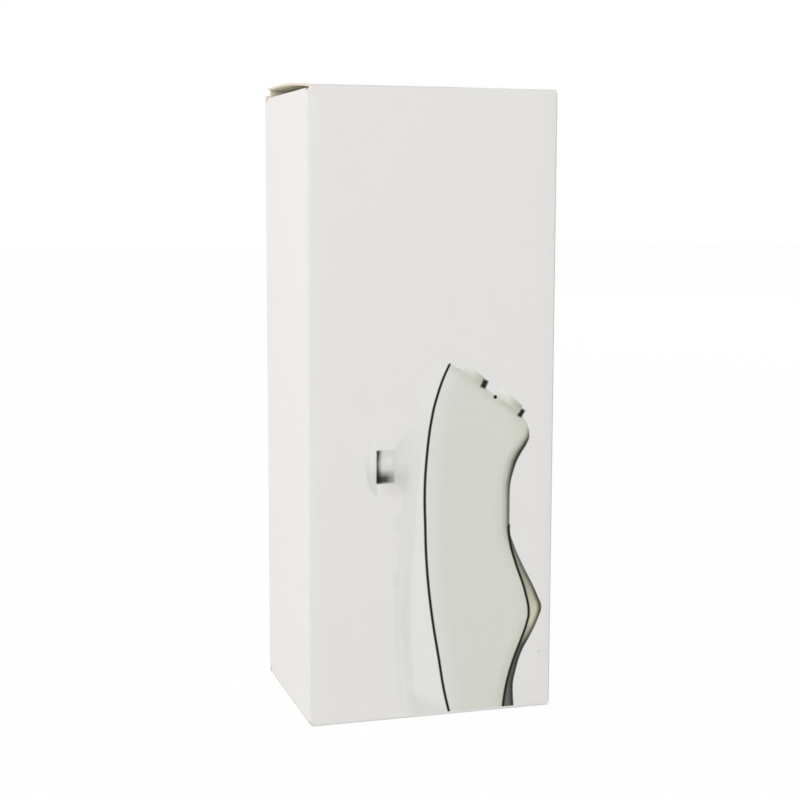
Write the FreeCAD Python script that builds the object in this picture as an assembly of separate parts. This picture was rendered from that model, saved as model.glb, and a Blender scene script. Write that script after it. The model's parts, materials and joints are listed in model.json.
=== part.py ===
import FreeCAD, Part
import math
import os

# A boxed remote control: a tuck-end carton and, standing in it, a hand-held remote control with a thumb stick.
# Lengths are in millimetres. X runs across the carton's front face, Y from its front to its back, Z up.
# The remote control stands on its tail: its own x runs from the thumb stick's side to the battery side, its own z
# from the tail to the nose, and the origin of its outlines is moved into the carton at the end.

# Remote control, outer form
REMOTE_LENGTH = 120.0
REMOTE_WIDTH = 35.0
TAIL_WIDTH = 30.0
NOSE_ROUND = 20.0
TAIL_ROUND = 14.0
TOP_FULLNESS = 3.0
UNDER_FULLNESS = 3.6
SECTION_POINTS = 20

# The side outlines are drawn at this length, as pairs of height above the tail and x
OUTLINE_LENGTH = 120.0
SEAM_OUTLINE = [
    (0.0, 21.5), (8.5, 18.0), (25.0, 11.3), (42.8, 5.9), (61.3, 2.4),
    (76.8, 0.5), (90.8, 0.0), (104.8, 1.0), (113.1, 2.7), (120.0, 5.3),
]
TOP_OUTLINE = [
    (0.0, 21.5), (1.5, 17.3), (4.8, 13.5), (11.0, 9.0), (18.5, 4.8), (26.5, 1.2), (35.0, -1.8), (42.8, -3.8),
    (53.0, -5.4), (68.0, -6.3), (83.0, -5.8), (97.0, -4.9), (107.5, -2.2), (114.0, -0.6), (116.5, 0.4),
    (118.6, 2.5), (120.0, 5.3),
]
UNDER_OUTLINE = [
    (0.0, 21.5), (2.0, 23.6), (6.0, 24.3), (20.0, 23.0), (36.0, 21.2), (44.8, 20.5), (51.8, 21.2), (58.8, 24.2),
    (62.8, 26.2), (65.4, 27.0), (67.8, 26.2), (75.8, 22.2), (83.8, 19.3), (91.3, 19.3), (97.3, 20.5),
    (102.2, 23.2), (103.8, 23.7), (106.6, 23.0), (112.8, 15.7), (118.2, 8.7), (120.0, 5.3),
]
COVER_OUTLINE = [
    (25.5, 22.6), (29.0, 19.5), (33.0, 18.3), (38.0, 18.0), (46.8, 18.6), (54.8, 20.6), (61.8, 23.5),
    (64.6, 24.1), (68.8, 23.3), (75.8, 20.7), (79.8, 19.3), (83.0, 18.7),
]
WIDTH_FULL_FROM = 60.0
WIDTH_TAIL_TO = 20.0

# Shells
SHELL_WALL = 1.8
SEAM_GAP = 0.5
LIP_HEIGHT = 1.5
LIP_BASE = 1.2
LIP_WALL = 0.9
LIP_CLEARANCE = 0.15
COVER_GAP = 0.3
DECK_WALL = 1.4

# Battery bay
CELL_LENGTH = 44.5
CELL_RADIUS = 5.25
CELL_SPACING = 11.3
CELL_CLEARANCE = 0.5
CELL_X = 12.6
CELL_NUB_RADIUS = 1.9
CELL_NUB_HEIGHT = 1.0
CELL_EDGE_RADIUS = 0.5
BAY_END = 80.4
BAY_WALL = 1.2
BAY_FLOOR_CLEARANCE = 0.25
CONTACT_THICKNESS = 0.4
CONTACT_WIDTH = 8.4
CONTACT_CLEARANCE = 0.15
CONTACT_FOOT_WIDTH = 3.6
CONTACT_HEIGHT = 4.2
SPRING_LENGTH = 3.6
SPRING_FOOT_RADIUS = 3.0
SPRING_TIP_RADIUS = 1.8
LUG_LENGTH = 2.2
LUG_WIDTH = 4.0
LUG_THICKNESS = 1.6
LUG_SPREAD = 9.0

# Boards
BOARD_X = 2.2
BOARD_THICKNESS = 1.6
BOARD_SIDE_ROOM = 4.5
BOARD_WIDTH = REMOTE_WIDTH - 2 * BOARD_SIDE_ROOM
BOARD_START = 38.0
BOARD_END = 104.0
CLAMP_GAP = 0.1

# Thumb stick
STICK_Z = 99.0
STICK_PIVOT_X = 0.0
STICK_CAP_TOP = -13.0
STICK_CAP_BOTTOM = -10.7
STICK_CAP_RADIUS = 6.3
STICK_CAP_EDGE = 0.9
STICK_CAP_ROUND = 0.7
STICK_CAP_CROWN = 0.35
STICK_HUB_RADIUS = 3.3
STICK_PEG_RADIUS = 1.9
STICK_PEG_LENGTH = 1.3
STICK_DOME_RADIUS = 6.9
STICK_DOME_WALL = 0.8
STICK_DOME_RIM = 68.0
STICK_DOME_CLEARANCE = 0.3
STICK_SHAFT_RADIUS = 1.0
COLLAR_TOP = -6.4
COLLAR_HOLE_RADIUS = 5.4
COLLAR_RIM = 0.9
COLLAR_FOOT_RADIUS = 9.0
COLLAR_FOOT_X = -1.5
COLLAR_BEVEL = 0.3
COLLAR_FLARE = 0.9
COLLAR_FLARE_SAG = 0.4
COLLAR_EDGE = 0.7
STICK_HOUSING = 8.0
STICK_HOUSING_WALL = 0.8
STICK_HOUSING_TOP = -2.0
STICK_HOUSING_HOLE = 2.2
RING_SIZE = 5.4
RING_HOLE = 3.4
RING_THICKNESS = 1.2
PIVOT_PIN_RADIUS = 0.4
PIVOT_CLEARANCE = 0.05

# Face buttons
BUTTON_Z = 80.0
BUTTON_SPREAD = 6.2
BUTTON_RADIUS = 2.9
BUTTON_PROUD = 0.6
BUTTON_CLEARANCE = 0.2
BUTTON_TRAVEL = 0.6
BUTTON_EDGE = 0.5
FLANGE_RIM = 0.7
FLANGE_THICKNESS = 0.8
FLANGE_GAP = 0.25
BUTTON_STEM_RADIUS = 1.2
POWER_Z = 60.0
POWER_RADIUS = 2.4
POWER_PROUD = 0.3
LIGHT_Z = 53.0
LIGHT_RADIUS = 1.0
LIGHT_SIZE = 1.6

# Tact switches
SWITCH_SIZE = 4.2
SWITCH_HEIGHT = 1.6
PLUNGER_RADIUS = 1.0
PLUNGER_HEIGHT = 0.5
PRESS_GAP = 0.2

# Mode slide on the side
MODE_BAY_GAP = 6.3
MODE_TRAVEL = 2.4
MODE_KNOB_LENGTH = 3.6
MODE_KNOB_HEIGHT = 2.4
MODE_KNOB_PROUD = 0.8
MODE_SWITCH_LENGTH = 7.0
MODE_SWITCH_DEPTH = 3.4
MODE_SWITCH_HEIGHT = 3.0
MODE_CLEARANCE = 0.3
MODE_KNOB_ROUND = 0.3
MODE_FINGER_X = 0.6
MODE_FINGER_Z = 0.8
MODE_FINGER_REACH = 1.2

# Triggers on the sloping nose face
NOSE_ANGLE = 38.7
UPPER_TRIGGER = (11.6, 116.4)
UPPER_TRIGGER_LENGTH = 5.4
UPPER_TRIGGER_WIDTH = 8.0
UPPER_TRIGGER_LOW = 0.9
UPPER_TRIGGER_HIGH = 2.0
LOWER_TRIGGER = (19.1, 110.6)
LOWER_TRIGGER_LENGTH = 7.0
LOWER_TRIGGER_WIDTH = 12.0
LOWER_TRIGGER_LOW = 1.3
LOWER_TRIGGER_HIGH = 1.9
TRIGGER_TRAVEL = 0.8
TRIGGER_CLEARANCE = 0.25
TRIGGER_FLANGE_GAP = 0.35
TRIGGER_CROWN = 0.4
TRIGGER_ROUND = 0.4
TRIGGER_BOARD_DEPTH = 8.4
TRIGGER_BOARD_LENGTH = 15.0
TRIGGER_BOARD_WIDTH = 14.0
TRIGGER_BOARD_THICKNESS = 1.2
SHELF_THICKNESS = 1.2
SHELF_LENGTH = 9.0
SHELF_REACH = 2.0
INDICATOR_RADIUS = 0.8
INDICATOR_PROUD = 0.1
INDICATOR_TAIL = 0.6
RIBBON_WIDTH = 5.0
RIBBON_THICKNESS = 0.3
CONNECTOR_LENGTH = 3.2
CONNECTOR_HEIGHT = 1.2
CONNECTOR_RIM = 0.8
CONNECTOR_INSET = 1.6
RIBBON_BEND = 0.14

# Screws
SCREW_RADIUS = 1.0
SCREW_HEAD_RADIUS = 1.9
SCREW_HEAD_HEIGHT = 1.3
SCREW_CLEARANCE = 0.05
SCREW_HOLE_CLEARANCE = 0.2
SCREW_BITE = 4.0
BOSS_WALL = 1.3
NOSE_SCREW_Z = 94.5
NOSE_SCREW_Y = BOARD_WIDTH / 2 - 2.4
TAIL_SCREW_Z = 19.5
TAIL_SCREW_Y = 9.0
SCREW_DEPTH = 3.6
SCREW_SLOT_DEPTH = 0.6
SCREW_SLOT_REACH = 1.3
SCREW_SLOT_HALF = 0.25
BOARD_SCREW_HEAD_HEIGHT = 0.9
BOARD_SCREW_Z = 46.0
BOARD_SCREW_Y = BOARD_WIDTH / 2 - 2.6
SMALL_SCREW_RADIUS = 0.7
SMALL_SCREW_HEAD_RADIUS = 1.2
SMALL_SCREW_HEAD_HEIGHT = 0.7
SMALL_SCREW_EDGE = 1.4

# Carton
CARD = 0.4
SIDE_ROOM = 3.3
DEPTH_ROOM = 6.9
HEAD_ROOM = 13.0
FLOOR_GAP = 0.15
LAYER_GAP = 0.1
FOLD_GAP = 0.15
LID_FOLD_GAP = 0.3
LID_AJAR = 3.5
LID_SIDE_GAP = 0.35
LID_BACK_GAP = 0.6
TONGUE_LENGTH = 12.0
TONGUE_INSET = 0.6
TONGUE_CORNER = 8.0
TONGUE_LEAN = 5.0
DUST_FLAP_LENGTH = 14.0
DUST_FLAP_FRONT = 1.2
DUST_FLAP_BACK = 2.6
DUST_FLAP_BACK_TAPER = 2.0
DUST_FLAP_SLANT = 0.7
GLUE_FLAP_WIDTH = 12.0
GLUE_FLAP_TAPER = 2.0
GLUE_FLAP_END_GAP = 1.0
SIDE_CHAMFER = 1.2

# Sizes that follow
V = FreeCAD.Vector
STRETCH = REMOTE_LENGTH / OUTLINE_LENGTH
FAR = 60.0
WIDE = REMOTE_WIDTH


def along(z):
    """A height on the drawn outlines, carried to the remote's real length."""
    return z * STRETCH


def smooth_through(points):
    """A curve x(z) through the points that never overshoots them: a cubic with harmonic mean slopes."""
    zs = [along(p[0]) for p in points]
    xs = [p[1] for p in points]
    steps = [zs[i + 1] - zs[i] for i in range(len(zs) - 1)]
    rises = [(xs[i + 1] - xs[i]) / steps[i] for i in range(len(steps))]
    slopes = [rises[0]]
    for i in range(1, len(steps)):
        if rises[i - 1] * rises[i] <= 0:
            slopes.append(0.0)
        else:
            a = 2 * steps[i] + steps[i - 1]
            b = steps[i] + 2 * steps[i - 1]
            slopes.append((a + b) / (a / rises[i - 1] + b / rises[i]))
    slopes.append(rises[-1])

    def curve(z):
        i = 0
        while i < len(steps) - 1 and z > zs[i + 1]:
            i += 1
        h = steps[i]
        s = (z - zs[i]) / h
        if s < 0:
            return xs[0] + (z - zs[0]) * slopes[0]
        if s > 1:
            return xs[-1] + (z - zs[-1]) * slopes[-1]
        return (
            xs[i] * (1 + 2 * s) * (1 - s) ** 2
            + slopes[i] * h * s * (1 - s) ** 2
            + xs[i + 1] * s * s * (3 - 2 * s)
            + slopes[i + 1] * h * s * s * (s - 1)
        )

    return curve


seam_x = smooth_through(SEAM_OUTLINE)
top_x = smooth_through(TOP_OUTLINE)
under_x = smooth_through(UNDER_OUTLINE)
cover_x = smooth_through(COVER_OUTLINE)
full_half_width = smooth_through(
    [
        (0.0, TAIL_WIDTH / 2),
        (WIDTH_TAIL_TO, TAIL_WIDTH / 2),
        (WIDTH_FULL_FROM, REMOTE_WIDTH / 2),
        (OUTLINE_LENGTH, REMOTE_WIDTH / 2),
    ]
)


def half_width(z):
    """Half the width at height z: the full width, rounded off at both ends by quarter ellipses."""
    share = 1.0
    if z > REMOTE_LENGTH - NOSE_ROUND:
        reach = (z - REMOTE_LENGTH + NOSE_ROUND) / NOSE_ROUND
        share = math.sqrt(max(0.0, 1 - reach * reach))
    if z < TAIL_ROUND:
        reach = (TAIL_ROUND - z) / TAIL_ROUND
        share = math.sqrt(max(0.0, 1 - reach * reach))
    return full_half_width(z) * share


SAMPLES = [REMOTE_LENGTH * i / 480 for i in range(481)]
TOP_SAMPLES = [(z, top_x(z)) for z in SAMPLES]
UNDER_SAMPLES = [(z, under_x(z)) for z in SAMPLES]
WIDTH_SAMPLES = [(z, half_width(z)) for z in SAMPLES]


def inset(z, depth):
    """The top, underside and half width at height z of the form that lies the given depth inside the outer one."""
    if depth == 0:
        return top_x(z), under_x(z), half_width(z)
    near = [(s, x, depth * depth - (z - s) ** 2) for s, x in TOP_SAMPLES if abs(z - s) < depth]
    top = max(x + math.sqrt(room) for s, x, room in near)
    near = [(s, x, depth * depth - (z - s) ** 2) for s, x in UNDER_SAMPLES if abs(z - s) < depth]
    under = min(x - math.sqrt(room) for s, x, room in near)
    near = [(s, x, depth * depth - (z - s) ** 2) for s, x in WIDTH_SAMPLES if abs(z - s) < depth]
    half = min(x - math.sqrt(room) for s, x, room in near)
    return top, under, half


def centre_x(z, top, under):
    """Where the widest line lies in a section: at the seam, kept inside the section."""
    low = top + 0.25 * (under - top)
    high = under - 0.25 * (under - top)
    return min(max(seam_x(z), low), high)


def face_x(z, y, depth=0.0, under_side=False):
    """x of the form's surface at height z and width y, at the given depth below the outer surface."""
    top, under, half = inset(z, depth)
    middle = centre_x(z, top, under)
    fullness = UNDER_FULLNESS if under_side else TOP_FULLNESS
    share = max(0.0, 1 - (abs(y) / half) ** fullness) ** (1 / fullness)
    if under_side:
        return middle + (under - middle) * share
    return middle - (middle - top) * share


def section(z, top, under, half):
    """A closed level curve: a rounded rectangle in superellipse form, fuller below the seam than above it."""
    middle = centre_x(z, top, under)
    points = []
    for i in range(SECTION_POINTS):
        angle = 2 * math.pi * i / SECTION_POINTS
        c = math.cos(angle)
        s = math.sin(angle)
        fullness = UNDER_FULLNESS if c > 0 else TOP_FULLNESS
        reach = (under - middle) if c > 0 else (middle - top)
        size = (abs(c) ** fullness + abs(s) ** fullness) ** (1 / fullness)
        points.append(V(middle + reach * c / size, half * s / size, z))
    curve = Part.BSplineCurve()
    shared = [float(i) for i in range(SECTION_POINTS + 1)]
    curve.interpolate(Points=points, PeriodicFlag=True, Parameters=shared)
    return Part.Wire([curve.toShape()])


def levels(low, high):
    """Heights of the sections: the outline's own points and the middle of long steps, close together at both ends."""
    inner = [along(p[0]) for p in UNDER_OUTLINE]
    longest = 5.0
    marks = []
    for a, b in zip(inner, inner[1:]):
        parts = max(1, math.ceil((b - a) / longest))
        marks += [a + (b - a) * i / parts for i in range(parts)]
    closest = 0.9
    ends = [low, low + 0.4, low + 1.1, low + 2.2, high - 2.2, high - 1.1, high - 0.4, high]
    body = [z for z in marks if low + 2.2 + closest < z < high - 2.2 - closest]
    return sorted(ends + body)


def form(depth):
    """The remote's whole form, at the given depth inside its outer surface, as one solid."""
    thinnest = 0.5
    inside = []
    for z in SAMPLES:
        if depth and not depth < z < REMOTE_LENGTH - depth:
            continue
        top, under, half = inset(z, depth)
        if under - top > thinnest and half > thinnest:
            inside.append(z)
    low = inside[0]
    high = inside[-1]
    wires = [section(z, *inset(z, depth)) for z in levels(low, high)]
    return Part.makeLoft(wires, True, False)


def box(x0, x1, y0, y1, z0, z1):
    return Part.makeBox(x1 - x0, y1 - y0, z1 - z0, V(x0, y0, z0))


def rod(x0, x1, y, z, radius):
    """A round bar along x."""
    return Part.makeCylinder(radius, x1 - x0, V(x0, y, z), V(1, 0, 0))


def slab(points, y0, y1):
    """A flat outline of (x, z) points, carried along y."""
    wire = Part.makePolygon([V(x, y0, z) for x, z in points + points[:1]])
    return Part.Face(wire).extrude(V(0, y1 - y0, 0))


def curved_slab(curve_points, far_points):
    """The space beside a smooth line of (x, z) points, closed by far corners and carried across the width."""
    line = Part.BSplineCurve()
    line.interpolate([V(x, -WIDE, z) for x, z in curve_points])
    corners = [V(x, -WIDE, z) for x, z in [curve_points[-1]] + far_points + [curve_points[0]]]
    wire = Part.Wire([line.toShape()] + Part.makePolygon(corners).Edges)
    return Part.Face(wire).extrude(V(0, 2 * WIDE, 0))


def under_seam(shift):
    """All space on the battery side of the seam, the seam moved towards it by the shift."""
    reach = 6.0
    marks = [-reach] + [along(p[0]) for p in SEAM_OUTLINE] + [REMOTE_LENGTH + reach]
    points = [(seam_x(z) + shift, z) for z in marks]
    return curved_slab(points, [(FAR, points[-1][1]), (FAR, points[0][1])])


def beyond_cover_line(shift):
    """The space outside the battery cover's parting line, the line moved outwards by the shift."""
    first = along(COVER_OUTLINE[0][0])
    last = along(COVER_OUTLINE[-1][0]) - shift
    reach = 4.0
    marks = [first - reach, first - reach / 2] + [along(p[0]) for p in COVER_OUTLINE[:-1]] + [last]
    points = [(cover_x(z) + shift, z) for z in marks]
    return curved_slab(points, [(FAR, points[-1][1]), (FAR, points[0][1])])


def turned(profile, z, y=0.0):
    """A solid of revolution about a line along x: profile is a closed list of (x, radius) points."""
    wire = Part.makePolygon([V(x, y, z + r) for x, r in profile + profile[:1]])
    return Part.Face(wire).revolve(V(0, y, z), V(1, 0, 0), 360)


# Where the sloping nose face's own directions point: t down the slope, n out of the face
SLOPE = math.radians(NOSE_ANGLE)
T_DIR = (math.cos(SLOPE), -math.sin(SLOPE))
N_DIR = (math.sin(SLOPE), math.cos(SLOPE))


def on_nose(centre, t, n):
    """The point (x, z) at t down the slope and n out of the face from a centre on the drawn outline."""
    x, z = centre
    surface_z = along(z)
    return x + t * T_DIR[0] + n * N_DIR[0], surface_z + t * T_DIR[1] + n * N_DIR[1]


def nose_block(centre, t0, t1, n0, n1, half):
    """A block lined up with the nose face."""
    corners = [on_nose(centre, t, n) for t, n in [(t0, n0), (t1, n0), (t1, n1), (t0, n1)]]
    return slab(corners, -half, half)


def nose_rod(centre, y, t, n0, n1, radius):
    """A round bar square to the nose face."""
    x, z = on_nose(centre, t, n0)
    return Part.makeCylinder(radius, n1 - n0, V(x, y, z), V(N_DIR[0], 0, N_DIR[1]))


# Places that several pieces share
BOARD_UNDER = BOARD_X + BOARD_THICKNESS
BAY_FLOOR = CELL_X - CELL_RADIUS - BAY_FLOOR_CLEARANCE
BAY_HALF = CELL_SPACING / 2 + CELL_RADIUS + CELL_CLEARANCE
BAY_LENGTH = 2 * CONTACT_THICKNESS + SPRING_LENGTH + CELL_LENGTH + 2 * CONTACT_CLEARANCE
BAY_HIGH = along(BAY_END)
BAY_LOW = BAY_HIGH - BAY_LENGTH
BUTTON_PLACES = {
    "button_top": (along(BUTTON_Z) + BUTTON_SPREAD, 0.0),
    "button_left": (along(BUTTON_Z), -BUTTON_SPREAD),
    "button_right": (along(BUTTON_Z), BUTTON_SPREAD),
    "button_bottom": (along(BUTTON_Z) - BUTTON_SPREAD, 0.0),
}
POWER_PLACE = (along(POWER_Z), 0.0)
LIGHT_PLACE = (along(LIGHT_Z), 0.0)
SWITCH_TOP = BOARD_X - SWITCH_HEIGHT - PLUNGER_HEIGHT
STEM_END = SWITCH_TOP - BUTTON_TRAVEL - PRESS_GAP
STICK_HEIGHT = along(STICK_Z)
MODE_X = BOARD_UNDER + MODE_SWITCH_HEIGHT / 2
MODE_HEIGHT = BAY_HIGH + MODE_BAY_GAP
TRIGGER_GAP_DEPTH = SHELL_WALL + TRIGGER_FLANGE_GAP
NOSE_MIDDLE = (
    (UPPER_TRIGGER[0] + LOWER_TRIGGER[0]) / 2,
    (UPPER_TRIGGER[1] + LOWER_TRIGGER[1]) / 2,
)
NOSE_SCREWS = [(along(NOSE_SCREW_Z), y) for y in (-NOSE_SCREW_Y, NOSE_SCREW_Y)]
TAIL_SCREWS = [(along(TAIL_SCREW_Z), y) for y in (-TAIL_SCREW_Y, TAIL_SCREW_Y)]
BOARD_SCREWS = [(along(BOARD_SCREW_Z), y) for y in (-BOARD_SCREW_Y, BOARD_SCREW_Y)]


def largest(shape):
    """The main solid of a shape, without the slivers that a parting line leaves at the two tips."""
    return max(shape.Solids, key=lambda solid: solid.Volume)


def button_flange_x(z, y, radius):
    """x of a flange's upper face: under the wall's lowest point over the flange, less the gap."""
    reach = radius + FLANGE_RIM
    around = [(z, abs(y) + reach), (z, abs(y) - reach), (z - reach, abs(y)), (z + reach, abs(y))]
    return max(face_x(a, b, SHELL_WALL) for a, b in around) + FLANGE_GAP


def seat_x(place):
    """x of a shell screw's seat, sunk below the underside."""
    return face_x(place[0], place[1], under_side=True) - SCREW_DEPTH


def screw_ends(place):
    """The x of a shell screw's seat and tip; the tip bites into the upper shell's boss."""
    meets = BOARD_X if place in NOSE_SCREWS else seam_x(place[0])
    return seat_x(place), meets - CLAMP_GAP - SCREW_BITE


def collar():
    """The raised ring round the thumb stick's opening, flaring out into the shell, as one turned solid."""
    rim = COLLAR_HOLE_RADIUS + COLLAR_RIM
    flare = Part.Arc(
        V(COLLAR_TOP + COLLAR_BEVEL, 0, STICK_HEIGHT + rim),
        V((COLLAR_TOP + COLLAR_FOOT_X) / 2 - COLLAR_FLARE_SAG, 0, STICK_HEIGHT + rim + COLLAR_FLARE),
        V(COLLAR_FOOT_X - COLLAR_EDGE, 0, STICK_HEIGHT + COLLAR_FOOT_RADIUS),
    ).toShape()
    rest = Part.makePolygon(
        [
            V(COLLAR_FOOT_X - COLLAR_EDGE, 0, STICK_HEIGHT + COLLAR_FOOT_RADIUS),
            V(COLLAR_FOOT_X, 0, STICK_HEIGHT + COLLAR_FOOT_RADIUS),
            V(COLLAR_FOOT_X, 0, STICK_HEIGHT),
            V(COLLAR_TOP, 0, STICK_HEIGHT),
            V(COLLAR_TOP, 0, STICK_HEIGHT + rim - COLLAR_BEVEL),
            V(COLLAR_TOP + COLLAR_BEVEL, 0, STICK_HEIGHT + rim),
        ]
    )
    profile = Part.Face(Part.Wire([flare] + rest.Edges))
    return profile.revolve(V(0, 0, STICK_HEIGHT), V(1, 0, 0), 360)


def upper_shell(outer, hollow):
    shell = largest(outer.cut(under_seam(-SEAM_GAP / 2)).cut(hollow))
    posts = [collar()]
    post_radius = SCREW_RADIUS + BOSS_WALL
    for place in NOSE_SCREWS + BOARD_SCREWS:
        start = face_x(place[0], place[1], SHELL_WALL / 2)
        posts.append(rod(start, BOARD_X - CLAMP_GAP, place[1], place[0], post_radius))
    for place in TAIL_SCREWS:
        start = face_x(place[0], place[1], SHELL_WALL / 2)
        posts.append(rod(start, seam_x(place[0]) - CLAMP_GAP, place[1], place[0], post_radius))
    dome_room = Part.makeSphere(
        STICK_DOME_RADIUS + STICK_DOME_CLEARANCE, V(STICK_PIVOT_X, 0, STICK_HEIGHT)
    )
    holes = [dome_room, rod(COLLAR_TOP - 1, STICK_PIVOT_X, 0, STICK_HEIGHT, COLLAR_HOLE_RADIUS)]
    rounds = [(place, BUTTON_RADIUS + BUTTON_CLEARANCE) for place in BUTTON_PLACES.values()]
    rounds.append((POWER_PLACE, POWER_RADIUS + BUTTON_CLEARANCE))
    rounds.append((LIGHT_PLACE, LIGHT_RADIUS + BUTTON_CLEARANCE / 2))
    for place, radius in rounds:
        low = face_x(place[0], place[1]) - 2
        holes.append(rod(low, low + 2 + 2 * SHELL_WALL, place[1], place[0], radius))
    pilot = SCREW_RADIUS + SCREW_CLEARANCE
    for place in NOSE_SCREWS + TAIL_SCREWS:
        seat, tip = screw_ends(place)
        holes.append(rod(tip - SCREW_CLEARANCE, seat, place[1], place[0], pilot))
    for place in BOARD_SCREWS:
        tip = BOARD_X - CLAMP_GAP - SCREW_BITE / 2
        holes.append(rod(tip - SCREW_CLEARANCE, BOARD_X, place[1], place[0], pilot))
    return largest(shell.fuse(posts).cut(holes))


def trigger_rows():
    """Each trigger's name, centre, length, width, and its height at the upper and lower end."""
    return [
        ("upper_trigger", UPPER_TRIGGER, UPPER_TRIGGER_LENGTH, UPPER_TRIGGER_WIDTH,
         UPPER_TRIGGER_LOW, UPPER_TRIGGER_HIGH),
        ("lower_trigger", LOWER_TRIGGER, LOWER_TRIGGER_LENGTH, LOWER_TRIGGER_WIDTH,
         LOWER_TRIGGER_LOW, LOWER_TRIGGER_HIGH),
    ]


def indicator_place():
    """How far down the slope from the upper trigger's centre the indicator sits: midway between the two."""
    apart = math.dist(
        (UPPER_TRIGGER[0], along(UPPER_TRIGGER[1])), (LOWER_TRIGGER[0], along(LOWER_TRIGGER[1]))
    )
    return (apart + UPPER_TRIGGER_LENGTH / 2 - LOWER_TRIGGER_LENGTH / 2) / 2


def cover_lugs(extra):
    """The cover's two tail lugs and its nose latch, or, with extra all round, the pockets that take them."""
    wall = BAY_WALL + 2 * COVER_GAP
    tail_high = BAY_LOW - wall + COVER_GAP
    nose_low = BAY_HIGH + wall - COVER_GAP
    tail_x = cover_x(tail_high - LUG_THICKNESS / 2)
    nose_x = cover_x(nose_low)
    blocks = []
    for side in (-1, 1):
        blocks.append(
            box(
                tail_x - LUG_LENGTH - extra, tail_x + COVER_GAP + LUG_THICKNESS / 2,
                side * LUG_SPREAD - LUG_WIDTH / 2 - extra, side * LUG_SPREAD + LUG_WIDTH / 2 + extra,
                tail_high - LUG_THICKNESS - extra, tail_high + extra,
            )
        )
    blocks.append(
        box(
            nose_x - LUG_LENGTH - extra, nose_x + COVER_GAP,
            -LUG_WIDTH - extra, LUG_WIDTH + extra,
            nose_low - extra, nose_low + LUG_THICKNESS / 2 + extra,
        )
    )
    return blocks


def bay_tools():
    """The battery bay's outer block, and the blocks that hollow it out and let the contact feet through."""
    outside = box(
        BAY_FLOOR - BAY_WALL, FAR, -BAY_HALF - BAY_WALL, BAY_HALF + BAY_WALL, BAY_LOW - BAY_WALL, BAY_HIGH + BAY_WALL
    )
    room = box(BAY_FLOOR, FAR, -BAY_HALF, BAY_HALF, BAY_LOW, BAY_HIGH)
    half_slot = CONTACT_FOOT_WIDTH / 2 + CONTACT_CLEARANCE
    slots = []
    for y in (-CELL_SPACING / 2, CELL_SPACING / 2):
        slots.append(
            box(
                BAY_FLOOR - 2 * BAY_WALL, BAY_FLOOR + BAY_WALL, y - half_slot, y + half_slot,
                BAY_HIGH - CONTACT_THICKNESS - CONTACT_CLEARANCE, BAY_HIGH,
            )
        )
    return outside, [room] + slots


def shelf_places():
    """n of the trigger board shelf's upper face, and the y of its two screws."""
    under_board = -(TRIGGER_BOARD_DEPTH + TRIGGER_BOARD_THICKNESS + CLAMP_GAP)
    screw_y = TRIGGER_BOARD_WIDTH / 2 - SMALL_SCREW_EDGE
    return under_board, (-screw_y, screw_y)


def lower_holes():
    """Everything that goes through the lower shell's walls: screws, triggers, indicator, mode slide, cover lugs."""
    holes = []
    for place in NOSE_SCREWS + TAIL_SCREWS:
        seat, tip = screw_ends(place)
        holes.append(rod(tip, seat + 1, place[1], place[0], SCREW_RADIUS + SCREW_HOLE_CLEARANCE))
        holes.append(rod(seat, FAR, place[1], place[0], SCREW_HEAD_RADIUS + SCREW_HOLE_CLEARANCE))
    for name, centre, length, width, low, high in trigger_rows():
        reach = length / 2 + TRIGGER_CLEARANCE
        holes.append(
            nose_block(centre, -reach, reach, -TRIGGER_GAP_DEPTH - 1, 5, width / 2 + TRIGGER_CLEARANCE)
        )
    holes.append(nose_rod(UPPER_TRIGGER, 0, indicator_place(), -2 * SHELL_WALL, 2, INDICATOR_RADIUS))
    slot_x = MODE_KNOB_HEIGHT / 2 + MODE_CLEARANCE
    holes.append(
        box(
            MODE_X - slot_x, MODE_X + slot_x, REMOTE_WIDTH / 2 - 2 * SHELL_WALL, REMOTE_WIDTH,
            MODE_HEIGHT - MODE_KNOB_LENGTH / 2 - MODE_CLEARANCE,
            MODE_HEIGHT + MODE_KNOB_LENGTH / 2 + MODE_TRAVEL + MODE_CLEARANCE,
        )
    )
    under_board, screw_ys = shelf_places()
    for y in screw_ys:
        holes.append(
            nose_rod(
                NOSE_MIDDLE, y, 0, under_board - 2 * SHELF_THICKNESS, under_board + 1,
                SMALL_SCREW_RADIUS + SCREW_CLEARANCE,
            )
        )
    return holes + cover_lugs(BUTTON_CLEARANCE)


def lip_core():
    """The room between the lip's inner walls, a block that runs through everything along x."""
    depth = SHELL_WALL + LIP_CLEARANCE + LIP_WALL
    marks = levels(depth + LIP_BASE, REMOTE_LENGTH - depth - LIP_BASE)
    halves = [inset(z, depth)[2] for z in marks]
    sides = []
    for sign in (-1, 1):
        line = Part.BSplineCurve()
        line.interpolate([V(-FAR, sign * half, z) for half, z in zip(halves, marks)])
        sides.append(line.toShape())
    for z, half in ((marks[0], halves[0]), (marks[-1], halves[-1])):
        sides.append(Part.LineSegment(V(-FAR, -half, z), V(-FAR, half, z)).toShape())
    face = Part.Face(Part.Wire(Part.__sortEdges__(sides)))
    return face.extrude(V(2 * FAR, 0, 0))


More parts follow.
